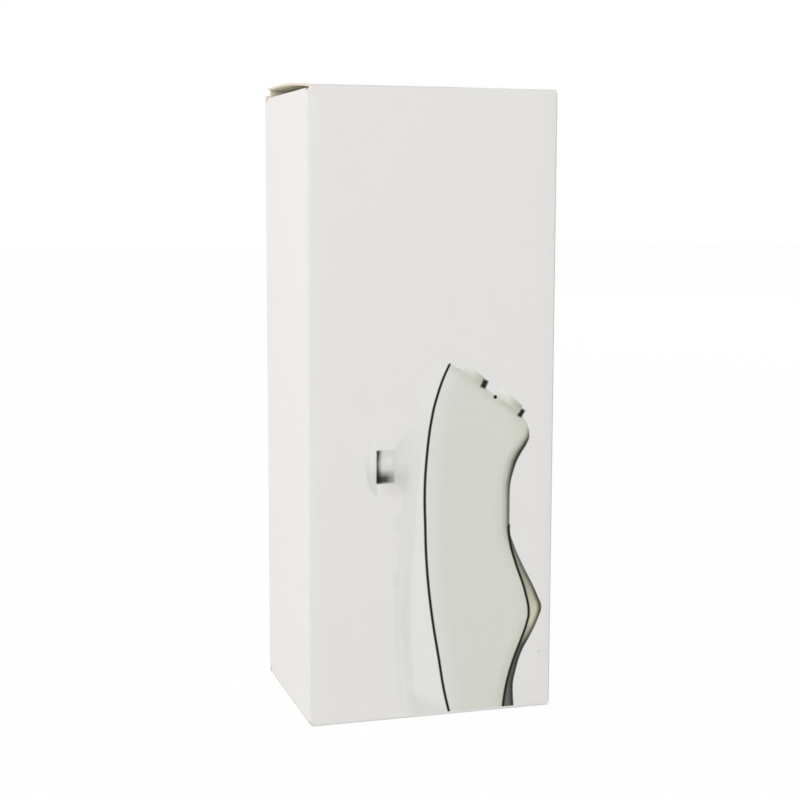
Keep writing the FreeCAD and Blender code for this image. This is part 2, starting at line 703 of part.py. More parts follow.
def lower_shell(outer, hollow):
    lip_outside = form(SHELL_WALL + LIP_CLEARANCE)
    cover_space = beyond_cover_line(-COVER_GAP / 2)
    deck = beyond_cover_line(-COVER_GAP / 2 - DECK_WALL)
    body = largest(outer.common(under_seam(SEAM_GAP / 2)).cut(cover_space))
    lip = lip_outside.common(under_seam(-LIP_HEIGHT)).cut(under_seam(2 * LIP_BASE))
    body = body.fuse(lip)
    body = body.cut([hollow.common(under_seam(LIP_BASE)).cut(deck), lip_core().cut(under_seam(LIP_BASE))])
    posts = []
    wide = SCREW_HEAD_RADIUS + SCREW_HOLE_CLEARANCE + BOSS_WALL / 2
    for place in NOSE_SCREWS:
        posts.append(rod(BOARD_UNDER + CLAMP_GAP, seat_x(place) + SCREW_DEPTH / 2, place[1], place[0], wide))
    for place in TAIL_SCREWS:
        low = seam_x(place[0]) + CLAMP_GAP
        posts.append(rod(low, seat_x(place) + SCREW_DEPTH / 2, place[1], place[0], wide))
    bay_outside, bay_holes = bay_tools()
    posts.append(bay_outside.cut(cover_space).common(outer))
    under_board, screw_ys = shelf_places()
    inner_edge = TRIGGER_BOARD_WIDTH / 2 - SHELF_REACH
    shelf = nose_block(
        NOSE_MIDDLE, -SHELF_LENGTH / 2, SHELF_LENGTH / 2, under_board - SHELF_THICKNESS, under_board, WIDE
    )
    shelf = shelf.cut(box(-FAR, FAR, -inner_edge, inner_edge, 0, 2 * REMOTE_LENGTH)).common(outer)
    posts += shelf.Solids
    return largest(body.fuse(posts).cut(bay_holes + lower_holes()))


def battery_cover(outer):
    plate = outer.common(beyond_cover_line(COVER_GAP / 2))
    return largest(plate.fuse(cover_lugs(0)))


def round_button(place, radius, proud):
    """A cap through the wall, a flange under it and a stem above its switch."""
    z, y = place
    top = face_x(z, y) - proud
    flange = button_flange_x(z, y, radius)
    profile = [
        (top, 0), (top, radius - BUTTON_EDGE), (top + 0.3 * BUTTON_EDGE, radius - 0.3 * BUTTON_EDGE),
        (top + BUTTON_EDGE, radius), (flange, radius),
        (flange, radius + FLANGE_RIM), (flange + FLANGE_THICKNESS, radius + FLANGE_RIM),
        (flange + FLANGE_THICKNESS, BUTTON_STEM_RADIUS), (STEM_END, BUTTON_STEM_RADIUS), (STEM_END, 0),
    ]
    return turned(profile, z, y)


def tact_switch(place):
    z, y = place
    half = SWITCH_SIZE / 2
    body = box(BOARD_X - SWITCH_HEIGHT, BOARD_X, y - half, y + half, z - half, z + half)
    return body.fuse(rod(SWITCH_TOP, BOARD_X - SWITCH_HEIGHT / 2, y, z, PLUNGER_RADIUS))


def light_pipe():
    z, y = LIGHT_PLACE
    top = face_x(z, y)
    flange = button_flange_x(z, y, LIGHT_RADIUS)
    end = BOARD_X - LIGHT_SIZE / 2 - PRESS_GAP
    profile = [
        (top, 0), (top, LIGHT_RADIUS), (flange, LIGHT_RADIUS), (flange, LIGHT_RADIUS + FLANGE_RIM),
        (flange + FLANGE_THICKNESS, LIGHT_RADIUS + FLANGE_RIM), (flange + FLANGE_THICKNESS, LIGHT_RADIUS),
        (end, LIGHT_RADIUS), (end, 0),
    ]
    return turned(profile, z, y)


def trigger(behind_wall, centre, length, width, low, high):
    """A pad raised out of the slope, a flange behind the wall and a stem above its switch."""
    corners = [
        (-length / 2, -TRIGGER_GAP_DEPTH), (length / 2, -TRIGGER_GAP_DEPTH), (length / 2, high), (-length / 2, low)
    ]
    pad = slab([on_nose(centre, t, n) for t, n in corners], -width / 2, width / 2)
    upper_edges = []
    surface = centre[0] * N_DIR[0] + along(centre[1]) * N_DIR[1]
    for edge in pad.Edges:
        ends = [p.Point.x * N_DIR[0] + p.Point.z * N_DIR[1] for p in edge.Vertexes]
        if min(ends) > surface:
            upper_edges.append(edge)
    pad = pad.makeFillet(TRIGGER_ROUND, upper_edges)
    reach = length / 2 + FLANGE_RIM
    lowest = -TRIGGER_GAP_DEPTH - FLANGE_THICKNESS - TRIGGER_CROWN
    flange = nose_block(centre, -reach, reach, lowest, 0, width / 2 + FLANGE_RIM).common(behind_wall)
    switch_top = trigger_board_face(centre) + SWITCH_HEIGHT + PLUNGER_HEIGHT
    stem = nose_rod(
        centre, 0, 0, switch_top + TRIGGER_TRAVEL + PRESS_GAP, -TRIGGER_GAP_DEPTH, BUTTON_STEM_RADIUS
    )
    return largest(pad.fuse([flange, stem]))


def trigger_board_face(centre):
    """n of the trigger board's upper face, counted from a trigger's own centre."""
    dx = centre[0] - NOSE_MIDDLE[0]
    dz = along(centre[1]) - along(NOSE_MIDDLE[1])
    return -TRIGGER_BOARD_DEPTH - (dx * N_DIR[0] + dz * N_DIR[1])


def trigger_switch(centre):
    face = trigger_board_face(centre)
    half = SWITCH_SIZE / 2
    body = nose_block(centre, -half, half, face, face + SWITCH_HEIGHT, half)
    plunger_top = face + SWITCH_HEIGHT + PLUNGER_HEIGHT
    return body.fuse(nose_rod(centre, 0, 0, face + SWITCH_HEIGHT / 2, plunger_top, PLUNGER_RADIUS))


def trigger_board():
    under = -TRIGGER_BOARD_DEPTH - TRIGGER_BOARD_THICKNESS
    reach = TRIGGER_BOARD_LENGTH / 2
    board = nose_block(NOSE_MIDDLE, -reach, reach, under, -TRIGGER_BOARD_DEPTH, TRIGGER_BOARD_WIDTH / 2)
    for y in shelf_places()[1]:
        board = board.cut(nose_rod(NOSE_MIDDLE, y, 0, under - 1, 0, SMALL_SCREW_RADIUS + SCREW_CLEARANCE))
    return board


def trigger_board_screws():
    under_board, screw_ys = shelf_places()
    face = -TRIGGER_BOARD_DEPTH
    screws = []
    for y in screw_ys:
        shank = nose_rod(NOSE_MIDDLE, y, 0, under_board - SHELF_THICKNESS, face + 0.2, SMALL_SCREW_RADIUS)
        head = nose_rod(NOSE_MIDDLE, y, 0, face, face + SMALL_SCREW_HEAD_HEIGHT, SMALL_SCREW_HEAD_RADIUS)
        screws.append(shank.fuse(head).removeSplitter())
    return Part.makeCompound(screws)


def nose_indicator():
    place = indicator_place()
    return nose_rod(
        UPPER_TRIGGER, 0, place, -SHELL_WALL - INDICATOR_TAIL, INDICATOR_PROUD, INDICATOR_RADIUS - SCREW_CLEARANCE
    )


def trigger_ribbon():
    """A flat cable in one easy bend, from the main board's connector to the trigger board's underside."""
    start = V(BOARD_UNDER + CONNECTOR_HEIGHT / 2, 0, along(BOARD_END) - CONNECTOR_INSET)
    end_x, end_z = on_nose(NOSE_MIDDLE, -TRIGGER_BOARD_LENGTH / 4, -TRIGGER_BOARD_DEPTH - TRIGGER_BOARD_THICKNESS)
    end = V(end_x, 0, end_z)
    chord = end - start
    side = V(chord.z, 0, -chord.x).normalize()
    middle = (start + end) * 0.5 + side * (chord.Length * RIBBON_BEND)
    near = side * (RIBBON_THICKNESS / 2)
    outside = Part.Arc(start + near, middle + near, end + near).toShape()
    inside = Part.Arc(start - near, middle - near, end - near).toShape()
    caps = [
        Part.LineSegment(start + near, start - near).toShape(),
        Part.LineSegment(end + near, end - near).toShape(),
    ]
    face = Part.Face(Part.Wire(Part.__sortEdges__([outside, inside] + caps)))
    half = RIBBON_WIDTH / 2
    ribbon = face.extrude(V(0, RIBBON_WIDTH, 0)).translated(V(0, -half, 0))
    under = -TRIGGER_BOARD_DEPTH - TRIGGER_BOARD_THICKNESS
    board_space = nose_block(NOSE_MIDDLE, -FAR, FAR, under, FAR, WIDE)
    return largest(ribbon.cut([board_space, ribbon_connector()]))


def ribbon_connector():
    half = RIBBON_WIDTH / 2 + CONNECTOR_RIM
    high = along(BOARD_END) - CONNECTOR_INSET
    return box(BOARD_UNDER, BOARD_UNDER + CONNECTOR_HEIGHT, -half, half, high - CONNECTOR_LENGTH, high)


def mode_knob():
    half = REMOTE_WIDTH / 2
    low = MODE_HEIGHT - MODE_KNOB_LENGTH / 2
    high = MODE_HEIGHT + MODE_KNOB_LENGTH / 2
    wide = MODE_KNOB_HEIGHT / 2
    inner = half - SHELL_WALL - MODE_CLEARANCE
    cap = box(MODE_X - wide, MODE_X + wide, inner - 0.5, half + MODE_KNOB_PROUD, low, high)
    outer_edges = [e for e in cap.Edges if min(v.Point.y for v in e.Vertexes) > half]
    cap = cap.makeFillet(MODE_KNOB_ROUND, outer_edges)
    flange = box(
        MODE_X - wide - FLANGE_RIM, MODE_X + wide + FLANGE_RIM, inner - FLANGE_THICKNESS, inner,
        low - FLANGE_RIM, high + FLANGE_RIM,
    )
    finger = box(
        MODE_X - MODE_FINGER_X, MODE_X + MODE_FINGER_X,
        BOARD_WIDTH / 2 - MODE_FINGER_REACH, inner - FLANGE_THICKNESS / 2,
        MODE_HEIGHT - MODE_FINGER_Z, MODE_HEIGHT + MODE_FINGER_Z,
    )
    return cap.fuse([flange, finger]).removeSplitter()


def mode_switch():
    half = BOARD_WIDTH / 2
    middle = MODE_HEIGHT + MODE_TRAVEL / 2
    body = box(
        BOARD_UNDER, BOARD_UNDER + MODE_SWITCH_HEIGHT, half - MODE_SWITCH_DEPTH, half,
        middle - MODE_SWITCH_LENGTH / 2, middle + MODE_SWITCH_LENGTH / 2,
    )
    room_x = MODE_FINGER_X + BUTTON_CLEARANCE
    room_z = MODE_FINGER_Z + BUTTON_CLEARANCE
    slot = box(
        MODE_X - room_x, MODE_X + room_x, half - MODE_FINGER_REACH - BUTTON_CLEARANCE, half + 1,
        MODE_HEIGHT - room_z, MODE_HEIGHT + room_z + MODE_TRAVEL,
    )
    return body.cut(slot)


def stick_cap():
    profile_top = Part.Arc(
        V(STICK_CAP_TOP, 0, STICK_HEIGHT),
        V(STICK_CAP_TOP + STICK_CAP_CROWN, 0, STICK_HEIGHT + STICK_CAP_RADIUS * 0.55),
        V(STICK_CAP_BOTTOM - STICK_CAP_EDGE, 0, STICK_HEIGHT + STICK_CAP_RADIUS),
    ).toShape()
    rim = Part.Arc(
        V(STICK_CAP_BOTTOM - STICK_CAP_EDGE, 0, STICK_HEIGHT + STICK_CAP_RADIUS),
        V(STICK_CAP_BOTTOM - 0.28 * STICK_CAP_EDGE, 0, STICK_HEIGHT + STICK_CAP_RADIUS - 0.07 * STICK_CAP_ROUND),
        V(STICK_CAP_BOTTOM, 0, STICK_HEIGHT + STICK_CAP_RADIUS - STICK_CAP_ROUND),
    ).toShape()
    socket = STICK_PEG_RADIUS + PIVOT_CLEARANCE
    depth = STICK_CAP_BOTTOM - STICK_PEG_LENGTH
    rest = Part.makePolygon(
        [
            V(STICK_CAP_BOTTOM, 0, STICK_HEIGHT + STICK_CAP_RADIUS - STICK_CAP_ROUND),
            V(STICK_CAP_BOTTOM, 0, STICK_HEIGHT + socket),
            V(depth, 0, STICK_HEIGHT + socket),
            V(depth, 0, STICK_HEIGHT),
            V(STICK_CAP_TOP, 0, STICK_HEIGHT),
        ]
    )
    face = Part.Face(Part.Wire([profile_top, rim] + rest.Edges))
    return face.revolve(V(0, 0, STICK_HEIGHT), V(1, 0, 0), 360)


def stick_stem():
    """Peg, hub, dust dome and shaft in one turning, with a cross pin for the gimbal ring."""
    outer_r = STICK_DOME_RADIUS
    inner_r = STICK_DOME_RADIUS - STICK_DOME_WALL
    rim = math.radians(STICK_DOME_RIM)
    hub_angle = math.asin(STICK_HUB_RADIUS / outer_r)
    shaft_angle = math.asin(STICK_SHAFT_RADIUS / inner_r)

    def on_ball(radius, angle):
        return V(STICK_PIVOT_X - radius * math.cos(angle), 0, STICK_HEIGHT + radius * math.sin(angle))

    peg_top = STICK_CAP_BOTTOM - STICK_PEG_LENGTH + PIVOT_CLEARANCE
    shaft_end = STICK_PIVOT_X + RING_THICKNESS / 2 + 0.4
    start = [
        V(peg_top, 0, STICK_HEIGHT),
        V(peg_top, 0, STICK_HEIGHT + STICK_PEG_RADIUS),
        V(STICK_CAP_BOTTOM, 0, STICK_HEIGHT + STICK_PEG_RADIUS),
        V(STICK_CAP_BOTTOM, 0, STICK_HEIGHT + STICK_HUB_RADIUS),
        on_ball(outer_r, hub_angle),
    ]
    outside = Part.Arc(
        on_ball(outer_r, hub_angle), on_ball(outer_r, (hub_angle + rim) / 2), on_ball(outer_r, rim)
    ).toShape()
    edge = Part.LineSegment(on_ball(outer_r, rim), on_ball(inner_r, rim)).toShape()
    inside = Part.Arc(
        on_ball(inner_r, rim), on_ball(inner_r, (shaft_angle + rim) / 2), on_ball(inner_r, shaft_angle)
    ).toShape()
    finish = [
        on_ball(inner_r, shaft_angle),
        V(shaft_end, 0, STICK_HEIGHT + STICK_SHAFT_RADIUS),
        V(shaft_end, 0, STICK_HEIGHT),
        V(peg_top, 0, STICK_HEIGHT),
    ]
    edges = Part.makePolygon(start).Edges + [outside, edge, inside] + Part.makePolygon(finish).Edges
    stem = Part.Face(Part.Wire(edges)).revolve(V(0, 0, STICK_HEIGHT), V(1, 0, 0), 360)
    reach = RING_SIZE / 2 - CLAMP_GAP
    pin = Part.makeCylinder(
        PIVOT_PIN_RADIUS, 2 * reach, V(STICK_PIVOT_X, 0, STICK_HEIGHT - reach), V(0, 0, 1)
    )
    return stem.fuse(pin).removeSplitter()


def gimbal_ring():
    half = RING_SIZE / 2
    hole = RING_HOLE / 2
    thick = RING_THICKNESS / 2
    z = STICK_HEIGHT
    x = STICK_PIVOT_X
    ring = box(x - thick, x + thick, -half, half, z - half, z + half)
    ring = ring.cut(box(x - FAR, x + FAR, -hole, hole, z - hole, z + hole))
    bore = PIVOT_PIN_RADIUS + PIVOT_CLEARANCE
    ring = ring.cut(Part.makeCylinder(bore, 2 * half + 2, V(x, 0, z - half - 1), V(0, 0, 1)))
    reach = STICK_HOUSING / 2 - CLAMP_GAP
    pins = []
    for side in (-1, 1):
        pins.append(
            Part.makeCylinder(PIVOT_PIN_RADIUS, reach - half + 0.3, V(x, side * (half - 0.3), z), V(0, side, 0))
        )
    return ring.fuse(pins).removeSplitter()


def stick_housing():
    half = STICK_HOUSING / 2
    room = half - STICK_HOUSING_WALL
    z = STICK_HEIGHT
    body = box(STICK_HOUSING_TOP, BOARD_X, -half, half, z - half, z + half)
    low_x = STICK_HOUSING_TOP + 0.6
    high_x = BOARD_X - 0.6
    body = body.cut(box(low_x, high_x, -room, room, z - room, z + room))
    body = body.cut(rod(STICK_HOUSING_TOP - 1, low_x + 0.1, 0, z, STICK_HOUSING_HOLE))
    bore = PIVOT_PIN_RADIUS + PIVOT_CLEARANCE
    return body.cut(
        Part.makeCylinder(bore, 2 * half + 2, V(STICK_PIVOT_X, -half - 1, z), V(0, 1, 0))
    )


def main_board():
    half = BOARD_WIDTH / 2
    board = box(BOARD_X, BOARD_UNDER, -half, half, along(BOARD_START), along(BOARD_END))
    for place in NOSE_SCREWS + BOARD_SCREWS:
        hole = SCREW_RADIUS + SCREW_HOLE_CLEARANCE
        board = board.cut(rod(BOARD_X - 1, BOARD_UNDER + 1, place[1], place[0], hole))
    return board


def board_parts():
    """The loose electronic parts on the main board's upper side, each a plain block at its own place."""

    def chip(y, z, width, length, height):
        return box(
            BOARD_X - height, BOARD_X, y - width / 2, y + width / 2, along(z) - length / 2, along(z) + length / 2
        )

    edge = BOARD_WIDTH / 2
    passives = [chip(edge - 6.8, 63.0 + 2.0 * i, 1.6, 0.9, 0.8) for i in range(5)]
    passives += [chip(2.2 - edge, 63.5 + 2.2 * i, 0.9, 1.6, 0.6) for i in range(3)]
    return {
        "radio_module": chip(edge - 5.8, 54.5, 8.4, 9.6, 1.9),
        "processor": chip(6.4 - edge, 66.0, 6.4, 6.4, 1.1),
        "crystal": chip(4.6 - edge, 72.9, 2.6, 3.4, 0.9),
        "board_passives": Part.makeCompound(passives),
        "status_light": chip(0.0, LIGHT_Z, LIGHT_SIZE, LIGHT_SIZE, LIGHT_SIZE / 2),
    }


def shell_screws():
    screws = []
    for place in NOSE_SCREWS + TAIL_SCREWS:
        seat, tip = screw_ends(place)
        shank = rod(tip, seat + SCREW_SLOT_DEPTH, place[1], place[0], SCREW_RADIUS)
        head = rod(seat, seat + SCREW_HEAD_HEIGHT, place[1], place[0], SCREW_HEAD_RADIUS)
        floor = seat + SCREW_HEAD_HEIGHT - SCREW_SLOT_DEPTH
        slots = []
        for wide, high in ((SCREW_SLOT_REACH, SCREW_SLOT_HALF), (SCREW_SLOT_HALF, SCREW_SLOT_REACH)):
            slots.append(box(floor, FAR, place[1] - wide, place[1] + wide, place[0] - high, place[0] + high))
        screws.append(shank.fuse(head).cut(slots))
    return Part.makeCompound(screws)


def board_screws():
    screws = []
    for place in BOARD_SCREWS:
        tip = BOARD_X - CLAMP_GAP - SCREW_BITE / 2
        shank = rod(tip, BOARD_UNDER + BOARD_SCREW_HEAD_HEIGHT / 2, place[1], place[0], SCREW_RADIUS)
        head = rod(BOARD_UNDER, BOARD_UNDER + BOARD_SCREW_HEAD_HEIGHT, place[1], place[0], SCREW_HEAD_RADIUS)
        screws.append(shank.fuse(head))
    return Part.makeCompound(screws)


def cell(y, nub_up):
    """A cylindrical cell with rounded rims and a nub at one end."""
    body = Part.makeCylinder(CELL_RADIUS, CELL_LENGTH - CELL_NUB_HEIGHT)
    body = body.makeFillet(CELL_EDGE_RADIUS, [e for e in body.Edges if e.Closed])
    nub = Part.makeCylinder(
        CELL_NUB_RADIUS, CELL_NUB_HEIGHT + 0.2, V(0, 0, CELL_LENGTH - CELL_NUB_HEIGHT - 0.2)
    )
    shape = body.fuse(nub).removeSplitter()
    spring_end = BAY_LOW + CONTACT_THICKNESS + SPRING_LENGTH + CONTACT_CLEARANCE
    if nub_up:
        return shape.translated(V(CELL_X, y, spring_end))
    shape.rotate(V(0, 0, 0), V(1, 0, 0), 180)
    return shape.translated(V(CELL_X, y, BAY_HIGH - (spring_end - BAY_LOW)))


def battery_springs():
    """The two springs' outer forms: cones that stand on the contact plates."""
    low = Part.makeCone(SPRING_FOOT_RADIUS, SPRING_TIP_RADIUS, SPRING_LENGTH)
    high = low.copy()
    high.rotate(V(0, 0, 0), V(1, 0, 0), 180)
    return Part.makeCompound(
        [
            low.translated(V(CELL_X, -CELL_SPACING / 2, BAY_LOW + CONTACT_THICKNESS)),
            high.translated(V(CELL_X, CELL_SPACING / 2, BAY_HIGH - CONTACT_THICKNESS)),
        ]
    )


def contact_plates():
    """The two plates at the nose end, each with a foot through the bay floor down to the main board."""
    plates = []
    for side in (-1, 1):
        y = side * CELL_SPACING / 2
        low = BAY_HIGH - CONTACT_THICKNESS
        plate = box(
            BAY_FLOOR + CONTACT_CLEARANCE, CELL_X + CONTACT_HEIGHT, y - CONTACT_WIDTH / 2, y + CONTACT_WIDTH / 2,
            low, BAY_HIGH,
        )
        half = CONTACT_FOOT_WIDTH / 2
        foot = box(BOARD_UNDER, BAY_FLOOR + 2 * CONTACT_CLEARANCE, y - half, y + half, low, BAY_HIGH)
        plates.append(plate.fuse(foot).removeSplitter())
    return Part.makeCompound(plates)


def contact_bridge():
    reach = CELL_SPACING / 2 + CONTACT_WIDTH / 2
    return box(
        BAY_FLOOR + CONTACT_CLEARANCE, CELL_X + CONTACT_HEIGHT, -reach, reach, BAY_LOW, BAY_LOW + CONTACT_THICKNESS
    )


# The carton round the remote
STICK_SIDE = STICK_CAP_TOP
COVER_SIDE = max(x for z, x in UNDER_OUTLINE)
CARTON_DEPTH = REMOTE_WIDTH + 2 * SIDE_ROOM + 2 * CARD
CARTON_WIDTH = COVER_SIDE - STICK_SIDE + 2 * DEPTH_ROOM + 2 * CARD
REMOTE_X = -(COVER_SIDE + STICK_SIDE) / 2
REMOTE_Z = 2 * CARD + LAYER_GAP + FLOOR_GAP
CARTON_HEIGHT = REMOTE_Z + REMOTE_LENGTH + HEAD_ROOM + 2 * CARD + LAYER_GAP
FRONT = -CARTON_DEPTH / 2
LEFT = -CARTON_WIDTH / 2
HINGE_Y = FRONT + CARD / 2
TOP_HINGE_Z = CARTON_HEIGHT - CARD / 2
BOTTOM_HINGE_Z = CARD / 2
FLAP_STEP = CARD + LAYER_GAP
LID_REACH = CARTON_DEPTH - 1.5 * CARD - LID_BACK_GAP - CARD / 2
LID_HALF = CARTON_WIDTH / 2 - LID_SIDE_GAP


def tilted(shape, degrees, y, z):
    """A shape turned about a line along X at the given y and z."""
    turned_shape = shape.copy()
    turned_shape.rotate(V(0, y, z), V(1, 0, 0), degrees)
    return turned_shape


def mirrored_top_to_bottom(shape):
    return shape.mirror(V(0, 0, CARTON_HEIGHT / 2), V(0, 0, 1))


def front_panel():
    gap = CARD + LID_FOLD_GAP
    return box(LEFT, -LEFT, FRONT, FRONT + CARD, gap, CARTON_HEIGHT - gap)


def back_panel():
    return box(LEFT, -LEFT, -FRONT - CARD, -FRONT, 0, CARTON_HEIGHT)


def side_panel(side):
    """A side panel between front and back, with its two rear corners cut off."""
    low = BOTTOM_HINGE_Z + FLAP_STEP + CARD / 2 + FOLD_GAP
    high = CARTON_HEIGHT - low
    front = FRONT + CARD
    back = -FRONT - CARD
    outline = [
        (front, low), (back - SIDE_CHAMFER, low), (back, low + SIDE_CHAMFER), (back, high - SIDE_CHAMFER),
        (back - SIDE_CHAMFER, high), (front, high),
    ]
    x = LEFT if side < 0 else -LEFT - CARD
    wire = Part.makePolygon([V(x, y, z) for y, z in outline + outline[:1]])
    return Part.Face(wire).extrude(V(CARD, 0, 0))


def glue_flap():
    low = BOTTOM_HINGE_Z + TONGUE_LENGTH + FLAP_STEP + GLUE_FLAP_END_GAP
    inner = -FRONT - CARD
    fold = LEFT + CARD
    edge = fold + GLUE_FLAP_WIDTH
    outline = [
        (fold, low), (edge, low + GLUE_FLAP_TAPER),
        (edge, CARTON_HEIGHT - low - GLUE_FLAP_TAPER), (fold, CARTON_HEIGHT - low),
    ]
    return slab(outline, inner - CARD, inner)


def flat_lid():
    """The top lid lying closed: a plate from its rounded fold to the tongue's fold."""
    root = Part.makeCylinder(CARD / 2, 2 * LID_HALF, V(-LID_HALF, HINGE_Y, TOP_HINGE_Z), V(1, 0, 0))
    plate = box(
        -LID_HALF, LID_HALF, HINGE_Y, HINGE_Y + LID_REACH - CARD / 2 - FOLD_GAP, TOP_HINGE_Z - CARD / 2, CARTON_HEIGHT
    )
    return root.fuse(plate).removeSplitter()


def flat_tongue():
    """The lid's tongue, hanging from its own rounded fold, its two lower corners cut to quarter circles."""
    half = CARTON_WIDTH / 2 - CARD - TONGUE_INSET
    y = HINGE_Y + LID_REACH
    low = TOP_HINGE_Z - TONGUE_LENGTH
    plate = box(-half, half, y - CARD / 2, y + CARD / 2, low, TOP_HINGE_Z)
    corners = [edge for edge in plate.Edges if edge.Length < 2 * CARD and edge.CenterOfMass.z < low + CARD]
    rounded = plate.makeFillet(TONGUE_CORNER, corners)
    root = Part.makeCylinder(CARD / 2, 2 * half, V(-half, y, TOP_HINGE_Z), V(1, 0, 0))
    return tilted(root.fuse(rounded).removeSplitter(), -TONGUE_LEAN, y, TOP_HINGE_Z)


def dust_flap(side):
    """A top dust flap: slanted at 45 degrees towards the lid's fold, slightly tapered at the back."""
    hinge_x = LEFT + CARD / 2
    z = TOP_HINGE_Z - FLAP_STEP
    front = FRONT + CARD + DUST_FLAP_FRONT
    back = -FRONT - CARD - DUST_FLAP_BACK
    tip = hinge_x + DUST_FLAP_LENGTH
    slant = DUST_FLAP_LENGTH * DUST_FLAP_SLANT
    outline = [
        (hinge_x, front), (tip, front + slant), (tip, back - DUST_FLAP_BACK_TAPER), (hinge_x, back)
    ]
    wire = Part.makePolygon([V(x, y, z - CARD / 2) for x, y in outline + outline[:1]])
    plate = Part.Face(wire).extrude(V(0, 0, CARD))
    root = Part.makeCylinder(CARD / 2, back - front, V(hinge_x, front, z), V(0, 1, 0))
    flap = root.fuse(plate).removeSplitter()
    return flap if side < 0 else flap.mirror(V(0, 0, 0), V(1, 0, 0))


def carton():
    lid_fold_y = HINGE_Y + LID_REACH
    return {
        "front_panel": front_panel(),
        "back_panel": back_panel(),
        "left_panel": side_panel(-1),
        "right_panel": side_panel(1),
        "glue_flap": glue_flap(),
        "top_lid": tilted(flat_lid(), LID_AJAR, HINGE_Y, TOP_HINGE_Z),
        "top_tongue": tilted(flat_tongue(), LID_AJAR, HINGE_Y, TOP_HINGE_Z),
        "top_dust_flap_left": dust_flap(-1),
        "top_dust_flap_right": dust_flap(1),
        "bottom_lid": mirrored_top_to_bottom(flat_lid()),
        "bottom_tongue": mirrored_top_to_bottom(flat_tongue()),
        "bottom_dust_flap_left": mirrored_top_to_bottom(dust_flap(-1)),
        "bottom_dust_flap_right": mirrored_top_to_bottom(dust_flap(1)),
    }


def remote():
    outer = form(0)
    hollow = form(SHELL_WALL)
    pieces = {
        "upper_shell": upper_shell(outer, hollow),
        "lower_shell": lower_shell(outer, hollow),
        "battery_cover": battery_cover(outer),
        "power_button": round_button(POWER_PLACE, POWER_RADIUS, POWER_PROUD),
        "light_pipe": light_pipe(),
        "button_switches": Part.makeCompound(
            [tact_switch(place) for place in list(BUTTON_PLACES.values()) + [POWER_PLACE]]
        ),
        "trigger_switches": Part.makeCompound([trigger_switch(row[1]) for row in trigger_rows()]),
        "trigger_board": trigger_board(),
        "trigger_board_screws": trigger_board_screws(),
        "nose_indicator": nose_indicator(),
        "trigger_ribbon": trigger_ribbon(),
        "ribbon_connector": ribbon_connector(),
        "mode_knob": mode_knob(),
        "mode_switch": mode_switch(),
        "stick_cap": stick_cap(),
        "stick_stem": stick_stem(),
        "gimbal_ring": gimbal_ring(),
        "stick_housing": stick_housing(),
        "main_board": main_board(),
        "shell_screws": shell_screws(),
        "board_screws": board_screws(),
        "battery_cell_1": cell(-CELL_SPACING / 2, True),
        "battery_cell_2": cell(CELL_SPACING / 2, False),
        "battery_springs": battery_springs(),
        "contact_plates": contact_plates(),
        "contact_bridge": contact_bridge(),
    }
    for name, place in BUTTON_PLACES.items():
        pieces[name] = round_button(place, BUTTON_RADIUS, BUTTON_PROUD)
    behind_wall = form(TRIGGER_GAP_DEPTH)
    for name, centre, length, width, low, high in trigger_rows():
        pieces[name] = trigger(behind_wall, centre, length, width, low, high)
    pieces.update(board_parts())
    for shape in pieces.values():
        shape.translate(V(REMOTE_X, 0, REMOTE_Z))
    return pieces


def main():
    os.makedirs("parts", exist_ok=True)
    for name, shape in {**carton(), **remote()}.items():
        shape.exportStep("parts/" + name + ".step")


main()
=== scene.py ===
import bpy
import bmesh
import json
import math
import numpy as np
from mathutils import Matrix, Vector

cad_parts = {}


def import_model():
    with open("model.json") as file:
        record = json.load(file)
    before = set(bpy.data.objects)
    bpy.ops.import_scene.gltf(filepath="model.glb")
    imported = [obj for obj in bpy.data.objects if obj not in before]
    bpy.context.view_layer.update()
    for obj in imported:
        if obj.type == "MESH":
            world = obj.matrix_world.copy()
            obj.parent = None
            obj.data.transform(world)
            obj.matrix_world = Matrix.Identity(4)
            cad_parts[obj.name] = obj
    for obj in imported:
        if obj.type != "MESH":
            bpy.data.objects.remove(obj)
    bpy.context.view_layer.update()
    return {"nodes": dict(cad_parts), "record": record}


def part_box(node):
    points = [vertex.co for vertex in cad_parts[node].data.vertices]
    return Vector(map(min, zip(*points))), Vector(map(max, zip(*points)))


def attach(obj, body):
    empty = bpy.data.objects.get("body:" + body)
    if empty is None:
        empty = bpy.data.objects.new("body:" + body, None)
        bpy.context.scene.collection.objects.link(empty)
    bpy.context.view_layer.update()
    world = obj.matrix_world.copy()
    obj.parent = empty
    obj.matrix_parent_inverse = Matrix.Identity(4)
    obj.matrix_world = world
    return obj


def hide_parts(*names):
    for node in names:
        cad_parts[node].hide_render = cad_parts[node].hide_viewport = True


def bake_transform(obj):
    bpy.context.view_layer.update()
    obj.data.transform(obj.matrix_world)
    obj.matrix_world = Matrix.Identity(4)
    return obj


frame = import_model()

# Sizes are in millimetres until a mesh is made
MM = 0.001


def corners_of(node):
    """Lowest and highest corner of a CAD node, in millimetres."""
    return tuple(np.array(corner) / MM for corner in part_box(node))


front_low, front_high = corners_of("front_panel")
back_high = corners_of("back_panel")[1]
LEFT = front_low[0]
RIGHT = front_high[0]
FRONT = front_low[1]
BACK = back_high[1]
TOP = back_high[2]
CARD = front_high[1] - FRONT
SIDE_EDGE = corners_of("left_panel")[0][2]
FRONT_EDGE = front_low[2]
SIDE_EDGE_TOP = TOP - SIDE_EDGE

# The upright panels: cut corners beside the dust flaps, radius of the folds, how far each panel sinks in
SIDE_CHAMFER = 1.2
SLEEVE_FOLD = 0.48
PANEL_HOLLOW = 0.03
SLEEVE_STEPS = 16
SLEEVE_ROWS = 25

# How the record sorts the CAD nodes
BODY_OF = {node: body for body, nodes in frame["record"]["behaviour"]["bodies"].items() for node in nodes}

